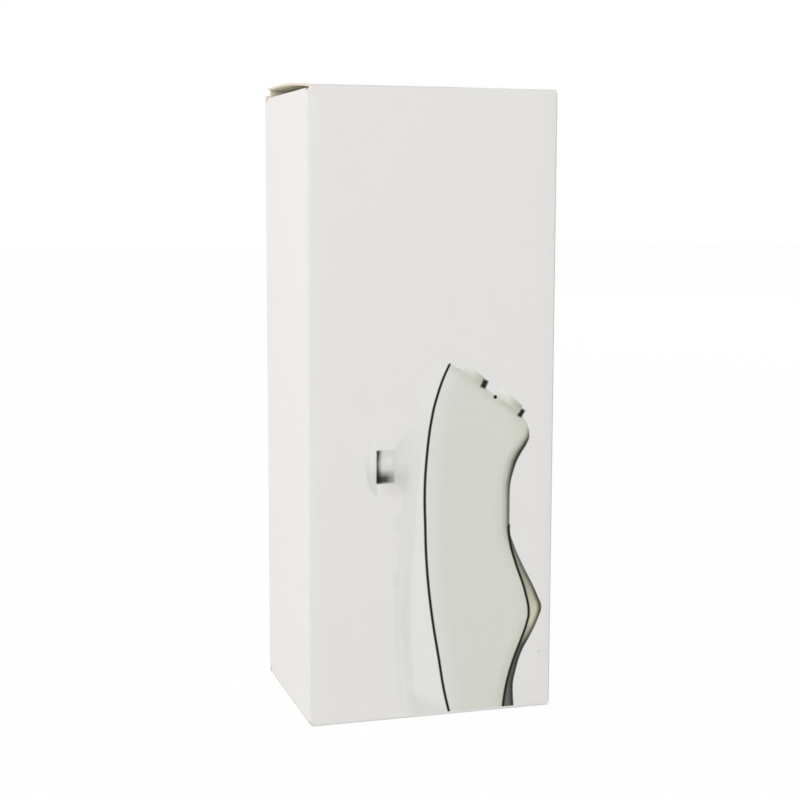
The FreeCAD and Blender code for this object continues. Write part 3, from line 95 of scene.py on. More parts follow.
# Folds of the carton's ends; a lid and its tongue meet a little before the crease between them
CREASE = 0.6
TONGUE_CREASE = 0.9 * CREASE
FLAP_CREASE = 0.8 * CREASE
MEETING_ROOM = 1.5
LID_AJAR = math.radians(2.3)
TONGUE_LEAN = math.radians(5.0)
HINGE_Y = FRONT + CARD / 2
HINGE_Z = TOP - CARD / 2
LID_REACH = 41.0
LID_BOW = 0.62
LID_HALF = corners_of("bottom_lid")[1][0]
TONGUE_HALF = corners_of("bottom_tongue")[1][0]
TONGUE_LENGTH = 12.0
TONGUE_CORNER = 8.0
FLAP_STEP = 0.5
FLAP_LENGTH = 14.0
FLAP_FRONT_GAP = 1.2
FLAP_SLANT = 9.8
FLAP_BACK_GAP = 2.6
FLAP_BACK_TAPER = 2.0

# How finely the folded sheets are divided along their path and across it
LID_STEPS = 24
LID_COLUMNS = 13
TONGUE_STEPS = 40
TONGUE_COLUMNS = 21
FLAP_STEPS = 16
FLAP_COLUMNS = 9

# Joining of loose triangles in metres; edges softened or left hard from so many degrees; the pull of large
# faces on the shading
MERGE = 1e-6
BEVEL_FROM = 40
NODE_SHARP_FROM = 35
BOARD_SHARP_FROM = 50
WIRE_SHARP_FROM = 60
LARGE_FACE_PULL = 90

# Even finishes: how coarse their drift is, how much gloss it moves, and its deepest tone in mottles
DRIFT_PER_MM = 0.15
GLOSS_DRIFT = 0.12
MOTTLE_DEPTH = 4

WHITE = (1.0, 1.0, 1.0, 1.0)


def srgb(red, green, blue):
    """A colour as a screen shows it, 0 to 255, as the linear colour that a material takes."""
    shares = np.array([red, green, blue]) / 255
    linear = np.where(shares <= 0.04045, shares / 12.92, ((shares + 0.055) / 1.055) ** 2.4)
    return (*linear, 1.0)


def darker(colour, share):
    """A colour with each of its parts times that share."""
    return tuple(part * share for part in colour[:3]) + (1.0,)


class Value:
    """A number or colour from a shader socket; arithmetic on it adds Math nodes."""

    def __init__(self, recipe, socket):
        self.recipe = recipe
        self.socket = socket

    def math(self, operation, first, second=0.0):
        return self.recipe.node("ShaderNodeMath", {"operation": operation}, {0: first, 1: second})

    def __add__(self, other):
        return self.math("ADD", self, other)

    __radd__ = __add__

    def __sub__(self, other):
        return self.math("SUBTRACT", self, other)

    def __rsub__(self, other):
        return self.math("SUBTRACT", other, self)

    def __mul__(self, other):
        return self.math("MULTIPLY", self, other)

    __rmul__ = __mul__

    def __truediv__(self, other):
        return self.math("DIVIDE", self, other)

    def __abs__(self):
        return self.math("ABSOLUTE", self)

    def lesser(self, other):
        return self.math("MINIMUM", self, other)

    def greater(self, other):
        return self.math("MAXIMUM", self, other)

    def share(self):
        """The value held between 0 and 1."""
        return self.greater(0.0).lesser(1.0)

    def past(self, softness):
        """1 where the value is above 0 and 0 where it is below, with an edge of that softness."""
        return (self / softness + 0.5).share()


class Recipe:
    """A material being made: one principled surface and the nodes that vary it."""

    def __init__(self, name, colour, roughness, metallic=0.0, **plain):
        self.material = bpy.data.materials.new(name)
        self.material.use_nodes = True
        self.material.diffuse_color = colour if isinstance(colour, tuple) else (0.8, 0.8, 0.8, 1.0)
        self.tree = self.material.node_tree
        self.surface = self.tree.nodes["Principled BSDF"]
        self.feed("Base Color", colour)
        self.feed("Roughness", roughness)
        self.feed("Metallic", metallic)
        for socket, value in plain.items():
            self.feed(socket.replace("_", " "), value)

    def feed(self, socket, value):
        """Gives a socket of the surface its value, or links it."""
        if isinstance(value, Value):
            self.tree.links.new(value.socket, self.surface.inputs[socket])
        else:
            self.surface.inputs[socket].default_value = value

    def node(self, kind, settings, inputs, output=0):
        """Adds a node: its settings first, then the values or links of its sockets."""
        made = self.tree.nodes.new(kind)
        for key, value in settings.items():
            setattr(made, key, value)
        for key, value in inputs.items():
            if isinstance(value, Value):
                self.tree.links.new(value.socket, made.inputs[key])
            else:
                made.inputs[key].default_value = value
        return Value(self, made.outputs[output])

    def place(self):
        """The point's place on the part, in millimetres, as one vector."""
        spot = self.node("ShaderNodeTexCoord", {}, {}, "Object")
        return self.node("ShaderNodeVectorMath", {"operation": "SCALE"}, {0: spot, "Scale": 1 / MM})

    def xyz(self):
        """The point's three coordinates in millimetres."""
        parts = self.node("ShaderNodeSeparateXYZ", {}, {0: self.place()})
        outputs = parts.socket.node.outputs
        return [Value(self, outputs[i]) for i in range(3)]

    def noise(self, per_mm, detail=3.0, stretch=(1.0, 1.0, 1.0)):
        """A soft noise of about 0 to 1; a stretch under 1 draws it out along that axis."""
        spot = self.node("ShaderNodeVectorMath", {"operation": "MULTIPLY"}, {0: self.place(), 1: stretch})
        return self.node("ShaderNodeTexNoise", {}, {"Vector": spot, "Scale": per_mm, "Detail": detail})

    def mix(self, factor, first, second):
        """The first colour at 0, the second at 1."""
        return self.node("ShaderNodeMix", {"data_type": "RGBA"}, {0: factor, 6: first, 7: second}, 2)

    def relief(self, height, depth_mm):
        """Raises the surface by the height times that depth."""
        inputs = {"Height": height, "Distance": depth_mm * MM, "Strength": 1.0}
        self.feed("Normal", self.node("ShaderNodeBump", {}, inputs))

    def curve(self, along, points, low, high, least, most):
        """A smooth line through (along, value) points, read at the given value."""
        span = high - low
        made = self.tree.nodes.new("ShaderNodeFloatCurve")
        line = made.mapping.curves[0].points
        scaled = [((a - low) / span, (v - least) / (most - least)) for a, v in sorted(points)]
        line[0].location = scaled[0]
        line[1].location = scaled[-1]
        for spot in scaled[1:-1]:
            line.new(*spot)
        for point in line:
            point.handle_type = "AUTO_CLAMPED"
        made.mapping.update()
        self.tree.links.new(((along - low) / span).share().socket, made.inputs["Value"])
        return Value(self, made.outputs[0]) * (most - least) + least


def dulled(name, colour, roughness, grain=0.02, grain_per_mm=6.0, mottle=0.03, metallic=0.0, **plain):
    """Any even finish: its colour and gloss drift a little over the surface, and it has a fine grain."""
    recipe = Recipe(name, colour, roughness, metallic, **plain)
    drift = recipe.noise(DRIFT_PER_MM, 4.0)
    recipe.feed("Base Color", recipe.mix(drift, colour, darker(colour, 1 - MOTTLE_DEPTH * mottle)))
    recipe.feed("Roughness", drift * GLOSS_DRIFT + (roughness - GLOSS_DRIFT / 2))
    recipe.relief(recipe.noise(grain_per_mm, 2.0), grain)
    return recipe.material


# The side view printed on the front: pairs of height above the tail and place across, in the remote
# control's own millimetres
PRINT_X = 2.0
PRINT_Z = 42.8
PRINT_LOW = 42.0
PRINT_HIGH = 120.0
PRINT_SEAM = [
    (42.0, 6.1), (48.8, 4.5), (55.3, 3.4), (66.3, 1.6), (76.8, 0.5), (86.8, 0.1), (90.8, 0.0), (100.3, 0.45),
    (109.3, 1.7), (113.1, 2.7), (116.8, 4.0), (120.0, 5.5),
]
PRINT_UNDER = [
    (42.0, 20.8), (47.8, 20.5), (51.8, 21.2), (55.8, 22.5), (58.8, 24.2), (62.8, 26.2), (65.4, 27.0),
    (67.8, 26.2), (75.8, 22.2), (79.8, 20.4), (83.8, 19.3), (91.3, 19.3), (97.3, 20.5), (99.8, 21.7),
    (102.2, 23.2), (103.7, 23.7), (106.6, 23.0), (112.8, 15.7), (118.2, 8.7), (120.0, 5.5),
]
PRINT_COVER = [
    (42.0, 18.1), (46.8, 18.7), (50.8, 19.6), (54.8, 20.9), (58.3, 22.3), (61.8, 23.6), (64.3, 24.1),
    (68.8, 23.3), (75.8, 20.9), (79.8, 19.7), (83.5, 19.2), (120.0, 40.0),
]
PRINT_TOP = [
    (42.0, -4.4), (46.0, -5.2), (58.0, -6.1), (68.0, -6.4), (83.0, -5.4), (93.0, -4.8), (100.5, -3.9),
    (107.5, -2.0), (114.0, -0.4), (120.0, 4.8),
]
OUTLINE_LEAST = -8.0
OUTLINE_MOST = 42.0
PRINT_SHADE = [
    (42.0, 0.5), (60.0, 0.5), (66.0, 0.7), (72.0, 0.4), (80.0, 0.3), (84.0, 0.35), (92.0, 0.45), (97.0, 0.75),
    (100.0, 0.95), (102.0, 0.8), (103.6, 0.35), (105.0, -0.1), (107.0, -0.6), (120.0, -0.8),
]
SHADE_LEAST = -1.0
SHADE_MOST = 4.0

# Heights on the print: end of the nose, upper end of the battery cover, edges of two top-face buttons
NOSE_END = 119.6
COVER_END = 84.4
BUTTON_HEIGHTS = (73.8, 86.0)

# Trigger buttons: centre, half length, half width, slant. Shades under them: centre, half length, slant.
# Dark gaps at their lower ends: centre, half length, half width, slant
TRIGGER_PADS = (((10.9, 117.5), 2.6, 0.9, -39.0), ((18.9, 111.5), 3.2, 1.25, -42.0))
PAD_SHADES = (((12.3, 115.6), 1.6, -40.0), ((19.3, 110.1), 2.8, -42.0))
PAD_GAPS = (((13.3, 115.4), 0.95, 0.65, 66.0), ((21.8, 108.8), 0.95, 0.55, 58.0))
INDICATOR_AT = (15.8, 112.5)
SPECK_AT = (26.6, 55.4)

INK_LINE = srgb(16, 18, 8)
INK_BODY = srgb(213, 214, 206)
INK_BODY_SECOND = srgb(208, 210, 200)
INK_BODY_DEEP = srgb(190, 193, 176)
INK_SHADOW = srgb(20, 22, 14)
INK_PALE = srgb(228, 228, 224)
INK_FAINT = srgb(207, 209, 203)
INK_COVER = srgb(198, 197, 172)
INK_COVER_HIGH = srgb(150, 150, 134)
INK_COVER_LOW = srgb(98, 99, 92)
INK_STEM = srgb(206, 208, 202)
INK_PAD_END = srgb(150, 152, 140)
INK_PAD = srgb(206, 208, 197)
INK_EDGE = srgb(112, 114, 92)
LINE_HALF = 0.31


class Drawing:
    """Ink on the front panel, painted one mask over the other.

    In the masks, a number beside across, up or an outline is a place or width in the print's millimetres. The
    number in past is how soft that edge is, and a plain factor is the ink's strength from 0 to 1.
    """

    def __init__(self, recipe, card):
        x, y, z = recipe.xyz()
        self.recipe = recipe
        self.across = x + PRINT_X
        self.up = z + PRINT_Z
        self.on_front = (FRONT + CARD - y).past(0.1)
        self.colour = card

    def outline(self, points, least=OUTLINE_LEAST, most=OUTLINE_MOST):
        """How far across a smooth line lies at each height."""
        return self.recipe.curve(self.up, points, PRINT_LOW, PRINT_HIGH, least, most)

    def aside(self, centre, degrees):
        """Distance from a slanted line through the centre, above 0 on its upper side."""
        slope = math.radians(degrees)
        return (self.up - centre[1]) * math.cos(slope) - (self.across - centre[0]) * math.sin(slope)

    def bar(self, centre, half_long, half_wide, degrees, softness=0.2):
        """A slanted bar: 1 inside both half lengths, measured along and across the slant."""
        slope = math.radians(degrees)
        along = (self.across - centre[0]) * math.cos(slope) + (self.up - centre[1]) * math.sin(slope)
        inside = (half_wide - abs(self.aside(centre, degrees))).past(softness)
        return (half_long - abs(along)).past(softness) * inside

    def oval(self, centre, half_x, half_z, softness):
        """1 where the squares of both distances, each over its half width, add up to less than 1."""
        dx = (self.across - centre[0]) / half_x
        dz = (self.up - centre[1]) / half_z
        return (1.0 - (dx * dx + dz * dz)).past(softness)

    def below(self, height, softness):
        """1 under that height."""
        return (height - self.up).past(softness)

    def paint(self, mask, ink):
        """Lays ink over the picture as strongly as the mask says, on the front face only."""
        self.colour = self.recipe.mix(mask * self.on_front, self.colour, ink)


def draw_upper_shell(art, top, seam):
    """Pale between its top line and the seam; faint streaks and two faint lines follow the top line."""
    across = art.across
    up = art.up
    art.paint((across - top).past(0.7) * (seam - across).past(0.2) * art.below(NOSE_END, 0.5) * 0.5, INK_PALE)
    fade = (up - 44.0).past(14.0) * art.below(104.0, 22.0)
    streaks = art.recipe.noise(0.5, 2.0, (1.0, 1.0, 0.12)) - 0.5
    strip = (across - top + 0.1).past(1.4) * (top + 3.0 - across).past(1.6) * fade
    art.paint(strip * (0.36 + streaks * 1.2).share(), INK_FAINT)
    for inward, strength in ((0.2, 0.4), (3.0, 0.25)):
        art.paint((0.16 - abs(across - top - inward)).past(0.5) * fade * strength, INK_FAINT)
    for height in BUTTON_HEIGHTS:
        art.paint(art.oval((-6.2, height), 0.9, 1.7, 1.4) * 0.32, INK_FAINT)
    tail = (48.5 + (across + 3.0) * -0.55 - up).past(2.6) * (across - top - 2.0).past(1.4)
    art.paint(tail * (seam - across).past(0.4) * 0.5, INK_FAINT)


def draw_stick(art):
    """Collar that widens towards the shell, domed cap, and a stem that is dark at its left and lower end."""
    across = art.across
    up = art.up
    flare = ((across + 6.9) / 3.6).share()
    collar_top = 102.0 + flare * 4.6 - up
    collar_low = up - 95.2 + flare * 3.4
    collar = (across + 7.0).past(0.5) * collar_top.past(0.9) * collar_low.past(1.2)
    art.paint(collar * (1.0 - (across + 6.2) / 4.4).share() * 0.62, INK_FAINT)
    dome = (2.6 - (across + 10.4) - (up - 98.6) * (up - 98.6) * 0.018).past(0.4)
    cap = dome * art.oval((-9.9, 98.2), 3.1, 6.3, 0.3) * (-10.6 - across).past(0.3)
    art.paint(cap * 0.5, INK_PALE)
    low_half = art.below(97.5, 4.0)
    art.paint(cap * (low_half * 0.8 + (-12.2 - across).past(0.5) * 0.35).share(), INK_FAINT)
    foot = art.oval((-6.5, 96.4), 2.6, 3.6, 2.4)
    art.paint(foot * art.below(97.6, 3.0) * 0.16, INK_SHADOW)
    stem = art.bar((-8.7, 98.4), 2.0, 3.55, 0.0, 0.4)
    middle = ((across + 8.0) * (across + 8.0) * 0.16 + abs(up - 99.6) * 0.3).share()
    art.paint(stem * (0.25 + middle).share(), INK_STEM)
    low_shade = (1.3 - abs(up - 95.7)).past(1.8) * (-7.0 - across).past(3.4)
    art.paint(stem * low_shade * 0.92, INK_LINE)
    art.paint(stem * (-10.15 - across + abs(up - 99.0) * 0.13).past(1.0), INK_LINE)


def draw_triggers(art):
    """Two slanted pads, paler upwards, with a shade at the far end and one along the lower side."""
    for centre, half_long, half_wide, slant in TRIGGER_PADS:
        pad = art.bar(centre, half_long, half_wide, slant, 0.3)
        paler = ((art.up - centre[1]) * 0.3 + 0.35).share()
        art.paint(pad, art.recipe.mix(paler, INK_PAD, INK_PALE))
        art.paint(pad * (art.across - centre[0] - half_long * 0.45).past(3.2) * 0.7, INK_PAD_END)
        art.paint(pad * (-0.2 - art.aside(centre, slant)).past(1.3) * 0.3, INK_BODY_DEEP)


def draw_lower_shell(art, seam, under, cover):
    """Grey green between the seam and the underside, darker towards the underside; the cover lies over it."""
    across = art.across
    depth = under - across
    shade = art.outline(PRINT_SHADE, SHADE_LEAST, SHADE_MOST)
    blur = art.recipe.noise(0.9, 3.0) - 0.5
    body = (across - seam).past(0.15) * depth.past(0.3) * art.below(NOSE_END, 0.5)
    art.paint(body, art.recipe.mix((0.45 + blur * 0.9).share(), INK_BODY, INK_BODY_SECOND))
    art.paint(body * (seam + 2.2 - across).past(4.4) * 0.42, INK_PALE)
    art.paint(body * (across - under + 2.2).past(3.2) * 0.5, INK_BODY_DEEP)
    art.paint(body * (shade * 1.6 + 0.5 - depth).past(1.6) * 0.45, INK_EDGE)
    near_cover = (across - cover + 1.3).past(2.8) * art.below(66.0, 10.0)
    art.paint(body * near_cover * 0.5, INK_BODY_DEEP)
    for centre, half_long, slant in PAD_SHADES:
        art.paint(body * art.bar(centre, half_long, 0.3, slant, 1.4) * 0.4, INK_PAD_END)
    on_cover = (across - cover).past(0.2) * art.below(COVER_END, 0.6)
    cover_ink = art.recipe.mix(art.below(69.0, 7.0), INK_COVER_HIGH, INK_COVER)
    cover_ink = art.recipe.mix(art.below(60.0, 5.0), cover_ink, INK_COVER_LOW)
    art.paint(body * on_cover, cover_ink)
    art.paint(body * (shade + 0.1 - depth).past(1.0) * 0.95, INK_SHADOW)


def draw_lines(art, seam, cover):
    """The cover's split, gaps at the trigger buttons, the indicator, the seam of the shells, one speck."""
    across = art.across
    art.paint((LINE_HALF - abs(across - cover)).past(0.25) * art.below(COVER_END, 0.5), INK_LINE)
    for centre, half_long, half_wide, slant in PAD_GAPS:
        art.paint(art.bar(centre, half_long, half_wide, slant, 0.45), INK_LINE)
    art.paint(art.oval(INDICATOR_AT, 0.42, 0.42, 0.7), INK_LINE)
    art.paint((LINE_HALF - abs(across - seam)).past(0.22) * art.below(PRINT_HIGH, 0.4), INK_LINE)
    art.paint(art.oval(SPECK_AT, 0.35, 0.35, 0.9) * 0.5, INK_BODY_DEEP)


def printed_side_view(recipe, card):
    """The same remote control from its side, cut off by the carton's lower end; its lines come last."""
    art = Drawing(recipe, card)
    seam = art.outline(PRINT_SEAM)
    under = art.outline(PRINT_UNDER)
    cover = art.outline(PRINT_COVER)
    draw_upper_shell(art, art.outline(PRINT_TOP), seam)
    draw_stick(art)
    draw_triggers(art)
    draw_lower_shell(art, seam, under, cover)
    draw_lines(art, seam, cover)
    return art.colour


# Board: coated face and the two tones that drift over it, raw edge, raw inside, painted shade for the folds,
# flecks
CARD_WHITE = srgb(226, 225, 223)
CARD_DRIFT = srgb(225, 223, 221)
CARD_FIBRE = srgb(224, 222, 219)
CARD_RAW = srgb(226, 214, 198)
CARD_INSIDE = srgb(250, 243, 224)
CARD_FOLD_SHADE = srgb(214, 213, 211)
CARD_FLECK = srgb(150, 130, 108)
CARD_SHEEN = 0.18


def coated_board(name, printed):
    """White coated board: faint long fibres and a slow drift of tone; where printed, its upright folds get
    painted shade.
    """
    recipe = Recipe(name, CARD_WHITE, 0.42, Specular_IOR_Level=CARD_SHEEN)
    fibres = recipe.noise(1.2, 5.0, (1.0, 1.0, 0.25))
    base = recipe.mix(recipe.noise(0.05, 2.0), CARD_WHITE, CARD_DRIFT)
    base = recipe.mix(fibres * 0.5, base, CARD_FIBRE)
    if printed:
        x, y, _ = recipe.xyz()
        # Painted shade: a darker colour along the upright folds of the printed sleeve
        reach = SLEEVE_FOLD * 0.8
        fold_shade = (abs(x) - RIGHT + reach).past(0.2) * (abs(y) - BACK + reach).past(0.2)
        base = recipe.mix(fold_shade, base, CARD_FOLD_SHADE)
        base = printed_side_view(recipe, base)
    recipe.feed("Base Color", base)
    recipe.feed("Roughness", fibres * 0.16 + 0.36)
    recipe.relief(fibres + recipe.noise(0.12, 2.0) * 4.0, 0.012)
    return recipe.material


def raw_board(name, colour):
    """The carton's uncoated side: coarser fibres and flecks."""
    recipe = Recipe(name, colour, 0.85)
    fibres = recipe.noise(2.5, 6.0, (1.0, 0.4, 0.3))
    flecks = (recipe.noise(1.6, 1.0) - 0.7).past(0.08)
    toned = recipe.mix(fibres, colour, darker(colour, 0.9))
    recipe.feed("Base Color", recipe.mix(flecks * 0.22, toned, CARD_FLECK))
    recipe.relief(fibres, 0.03)
    return recipe.material


printed_board = coated_board("coated board with the print", True)
plain_board = coated_board("coated board", False)
inside_board = raw_board("raw board inside", CARD_INSIDE)
cut_edge = raw_board("cut board edge", CARD_RAW)


def rounded_path(corners, radius, closed=False, arc_steps=6, straight_steps=(1,)):
    """Straight runs joined by arcs. An arc starts and ends at the radius over the tangent of half the inner
    angle from its corner, and its points come from turning evenly about its centre."""
    points = [np.array(corner, float) for corner in corners]
    count = len(points)
    pieces = []
    for i, corner in enumerate(points):
        if not closed and i in (0, count - 1):
            pieces.append(corner[None])
            continue
        back = points[i - 1] - corner
        ahead = points[(i + 1) % count] - corner
        back = back / np.linalg.norm(back)
        ahead = ahead / np.linalg.norm(ahead)
        inner = math.acos(np.clip(back @ ahead, -1, 1))
        start = corner + back * radius / math.tan(inner / 2)
        end = corner + ahead * radius / math.tan(inner / 2)
        middle = back + ahead
        centre = corner + middle / np.linalg.norm(middle) * radius / math.sin(inner / 2)
        turn = math.pi - inner
        share = np.linspace(0, 1, arc_steps + 1)[:, None]
        first = np.sin((1 - share) * turn) * (start - centre)
        second = np.sin(share * turn) * (end - centre)
        pieces.append(centre + (first + second) / math.sin(turn))
    path = [pieces[0]]
    following = pieces[1:] + ([pieces[0][:1]] if closed else [])
    for i, piece in enumerate(following):
        share = np.linspace(0, 1, straight_steps[i % len(straight_steps)] + 1)[1:-1, None]
        path.append(path[-1][-1] + share * (piece[0] - path[-1][-1]))
        path.append(piece)
    joined = np.concatenate(path)
    return joined[:-1] if closed else joined


def added(name, data):
    """Puts a mesh, a lamp or a camera in the scene."""
    made = bpy.data.objects.new(name, data)
    bpy.context.collection.objects.link(made)
    return made


def grid_object(name, grid, closed=False, flip=False):
    """A surface over a grid of points (rows, columns, 3): each face joins two neighbours both ways."""
    rows, columns = grid.shape[:2]
    index = np.arange(rows * columns).reshape(rows, columns)
    if closed:
        index = np.concatenate([index, index[:, :1]], axis=1)
    around = [index[:-1, :-1], index[:-1, 1:], index[1:, 1:], index[1:, :-1]]
    faces = np.stack(around, axis=-1).reshape(-1, 4)
    if flip:
        faces = faces[:, ::-1]
    mesh = bpy.data.meshes.new(name)
    mesh.from_pydata((grid.reshape(-1, 3) * MM).tolist(), [], faces.tolist())
    return added(name, mesh)


def smoothed(made, degrees):
    """Smooth shading, with a hard edge where two faces meet at more than that angle."""
    mesh = made.data
    mesh.polygons.foreach_set("use_smooth", np.ones(len(mesh.polygons), bool))
    mesh.set_sharp_from_angle(angle=math.radians(degrees))


def board(made, outside):
    """Gives a surface the thickness of board, white outside, raw inside and at its cut edges."""
    for material in (outside, inside_board, cut_edge):
        made.data.materials.append(material)
    wall = made.modifiers.new("board", "SOLIDIFY")
    wall.thickness = CARD * MM
    wall.offset = -1.0
    wall.use_even_offset = True
    wall.material_offset = 1
    wall.material_offset_rim = 2
    evaluated = made.evaluated_get(bpy.context.evaluated_depsgraph_get())
    thick = bpy.data.meshes.new_from_object(evaluated)
    made.modifiers.clear()
    made.data = thick
    smoothed(made, BOARD_SHARP_FROM)
    return made


def sleeve():
    """The four upright panels as one folded sheet: a rounded rectangle carried up, where each panel sinks in
    by half a wave across times half a wave up."""
    rectangle = [(LEFT, FRONT), (RIGHT, FRONT), (RIGHT, BACK), (LEFT, BACK)]
    round_path = rounded_path(rectangle, SLEEVE_FOLD, closed=True, straight_steps=(SLEEVE_STEPS,))
    x = round_path[:, 0]
    y = round_path[:, 1]
    at_front = y < FRONT + SLEEVE_FOLD / 3
    at_back = y > BACK - SLEEVE_FOLD / 3
    cut = np.clip(y - (BACK - CARD - SIDE_CHAMFER), 0, SIDE_CHAMFER)
    low = np.where(at_front, FRONT_EDGE, np.where(at_back, 0.0, SIDE_EDGE + cut))
    share = np.linspace(0, 1, SLEEVE_ROWS)[:, None]
    z = low + share * (TOP - 2 * low)
    hollow = PANEL_HOLLOW * np.sin(math.pi * share) * np.ones_like(z)
    across = np.cos(math.pi * x / (2 * RIGHT)) * np.sign(y)
    along = np.cos(math.pi * y / (2 * BACK)) * np.sign(x)
    grid = np.stack([x - hollow * along, y - hollow * across, z], axis=-1)
    made = board(grid_object("carton_sleeve", grid, closed=True), printed_board)
    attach(made, "carton")
    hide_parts("front_panel", "back_panel", "left_panel", "right_panel")


def strip_grid(path, low, high, columns, spread):
    """A profile path carried sideways: at each of its points it reaches from that point's low to its high."""
    share = np.linspace(0, 1, columns)[None, :]
    reach = low[:, None] + share * (high - low)[:, None]
    first = np.repeat(path[:, :1], columns, axis=1)
    second = np.repeat(path[:, 1:], columns, axis=1)
    order = {"x": (reach, first, second), "y": (first, reach, second)}[spread]
    return np.stack(order, axis=-1)


def length_along(path):
    """Distance from the path's start to each of its points, as the sum of the steps."""
    steps = np.linalg.norm(np.diff(path, axis=0), axis=1)
    return np.concatenate([[0.0], np.cumsum(steps)])


def at_height(points, top):
    """Points of the carton's upper end, mirrored to its lower end where top is false."""
    turned = np.array(points, float)
    if not top:
        turned[..., -1] = TOP - turned[..., -1]
    return turned


def lid_and_tongue(top):
    """Lid: up the front, round a crease and back, with a bow of half a wave where it stands ajar.
    Tongue: round the second crease and down, its sides drawn in at the end as quarter circles."""
    end = "top" if top else "bottom"
    tilt = LID_AJAR if top else 0.0
    forward = np.array([math.cos(tilt), math.sin(tilt)])
    upward = np.array([-math.sin(tilt), math.cos(tilt)])
    hinge = np.array([HINGE_Y, HINGE_Z])
    surface = hinge + upward * CARD / 2
    front_corner = surface + forward * (FRONT - surface[0]) / forward[0]
    lean = tilt - TONGUE_LEAN
    down = np.array([math.sin(lean), -math.cos(lean)])
    fold = hinge + forward * LID_REACH
    face = fold + np.array([math.cos(lean), math.sin(lean)]) * CARD / 2
    crossing = np.linalg.solve(np.stack([forward, -down], axis=1), face - surface)
    back_corner = surface + forward * crossing[0]
    meeting = back_corner - forward * CREASE * MEETING_ROOM
    lid_corners = [(FRONT, TOP - FRONT_EDGE), front_corner, meeting]
    lid_path = rounded_path(lid_corners, CREASE, straight_steps=(1, LID_STEPS))
    inward = np.clip((lid_path - front_corner) @ forward / np.linalg.norm(meeting - front_corner), 0, 1)
    lid_path = lid_path + np.sin(math.pi * inward)[:, None] * upward * (LID_BOW if top else 0.0)
    half = np.full(len(lid_path), LID_HALF)
    grid = strip_grid(at_height(lid_path, top), -half, half, LID_COLUMNS, "x")
    lid = board(grid_object(end + "_lid_sheet", grid, flip=not top), plain_board)
    start = at_height([0.0, FRONT, TOP - FRONT_EDGE], top) * MM
    finish = at_height([0.0, *(front_corner + forward * CREASE)], top) * MM
    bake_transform(lid)
    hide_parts(end + "_lid")
    tip = back_corner + down * TONGUE_LENGTH
    tongue_path = rounded_path([meeting, back_corner, tip], TONGUE_CREASE, straight_steps=(1, TONGUE_STEPS))
    left_over = length_along(tongue_path)[-1] - length_along(tongue_path)
    corner = np.clip(TONGUE_CORNER - left_over, 0, TONGUE_CORNER)
    half = TONGUE_HALF - TONGUE_CORNER + np.sqrt(np.maximum(TONGUE_CORNER ** 2 - corner ** 2, 0))
    grid = strip_grid(at_height(tongue_path, top), -half, half, TONGUE_COLUMNS, "x")
    tongue = board(grid_object(end + "_tongue_sheet", grid, flip=not top), plain_board)
    start = at_height([0.0, *meeting], top) * MM
    finish = at_height([0.0, *(back_corner + down * CREASE)], top) * MM
    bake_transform(tongue)
    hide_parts(end + "_tongue")


def dust_flap(top, side):
    """Up the side, round a crease and inwards; the front edge slants back, the rear edge tapers a little."""
    node = ("top" if top else "bottom") + "_dust_flap_" + ("left" if side < 0 else "right")
    face_z = HINGE_Z - FLAP_STEP + CARD / 2
    outer = side * RIGHT
    tip = side * (RIGHT - CARD / 2 - FLAP_LENGTH)
    corners = [(outer, SIDE_EDGE_TOP), (outer, face_z), (tip, face_z)]
    path = rounded_path(corners, FLAP_CREASE, straight_steps=(1, FLAP_STEPS))
    inward = np.clip((RIGHT - CARD / 2 - np.abs(path[:, 0])) / FLAP_LENGTH, 0, 1)
    low = FRONT + CARD + FLAP_FRONT_GAP + FLAP_SLANT * inward
    high = BACK - CARD - FLAP_BACK_GAP - FLAP_BACK_TAPER * inward
    grid = strip_grid(at_height(path, top), low, high, FLAP_COLUMNS, "y")
    made = board(grid_object(node + "_sheet", grid, flip=(side < 0) == top), plain_board)
    start = at_height([outer, 0.0, SIDE_EDGE_TOP], top) * MM
    finish = at_height([outer - side * CREASE, 0.0, face_z], top) * MM
    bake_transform(made)
    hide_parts(node)


sleeve()
for at_top in (True, False):
    lid_and_tongue(at_top)
    for flap_side in (-1, 1):
        dust_flap(at_top, flap_side)


def dressed(node, material, bevel):
    """A CAD node's own form with its loose triangles joined, smooth across its curves, and softened edges."""
    source = frame["nodes"][node]
    mesh = source.data.copy()
    mesh.transform(source.matrix_world)
    work = bmesh.new()
    work.from_mesh(mesh)
    bmesh.ops.remove_doubles(work, verts=work.verts, dist=MERGE)
    work.to_mesh(mesh)
    work.free()
    mesh.materials.clear()
    mesh.materials.append(material)
    made = added(node + "_piece", mesh)
    smoothed(made, NODE_SHARP_FROM)
    if bevel:
        soft = made.modifiers.new("softened edges", "BEVEL")
        soft.width = bevel * MM
        soft.segments = 2
        soft.limit_method = "ANGLE"
        soft.angle_limit = math.radians(BEVEL_FROM)
        soft.harden_normals = True
    else:
        even = made.modifiers.new("even normals", "WEIGHTED_NORMAL")
        even.keep_sharp = True
        even.weight = LARGE_FACE_PULL
    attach(made, BODY_OF[node])
    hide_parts(node)


LACQUER = srgb(26, 84, 52)
LACQUER_DEEP = srgb(20, 70, 44)
LACQUER_TRACK = srgb(60, 124, 78)
LANES = 14.0
CELL_FILM = srgb(52, 66, 78)
CELL_BAND = srgb(196, 160, 84)
BARE_STEEL = srgb(196, 196, 192)


def board_lacquer():
    """Green lacquer over copper tracks: a thin line wherever a long-drawn noise passes an even step."""
    recipe = Recipe("board lacquer", LACQUER, 0.32)
    lanes = recipe.noise(0.28, 0.0, (1.0, 1.0, 0.12)) * LANES
    tracks = (0.04 - abs(lanes.math("FRACT", lanes) - 0.5)).past(0.03)
    toned = recipe.mix(recipe.noise(0.3, 3.0), LACQUER, LACQUER_DEEP)
    recipe.feed("Base Color", recipe.mix(tracks * 0.6, toned, LACQUER_TRACK))
    recipe.relief(tracks, 0.02)
    return recipe.material


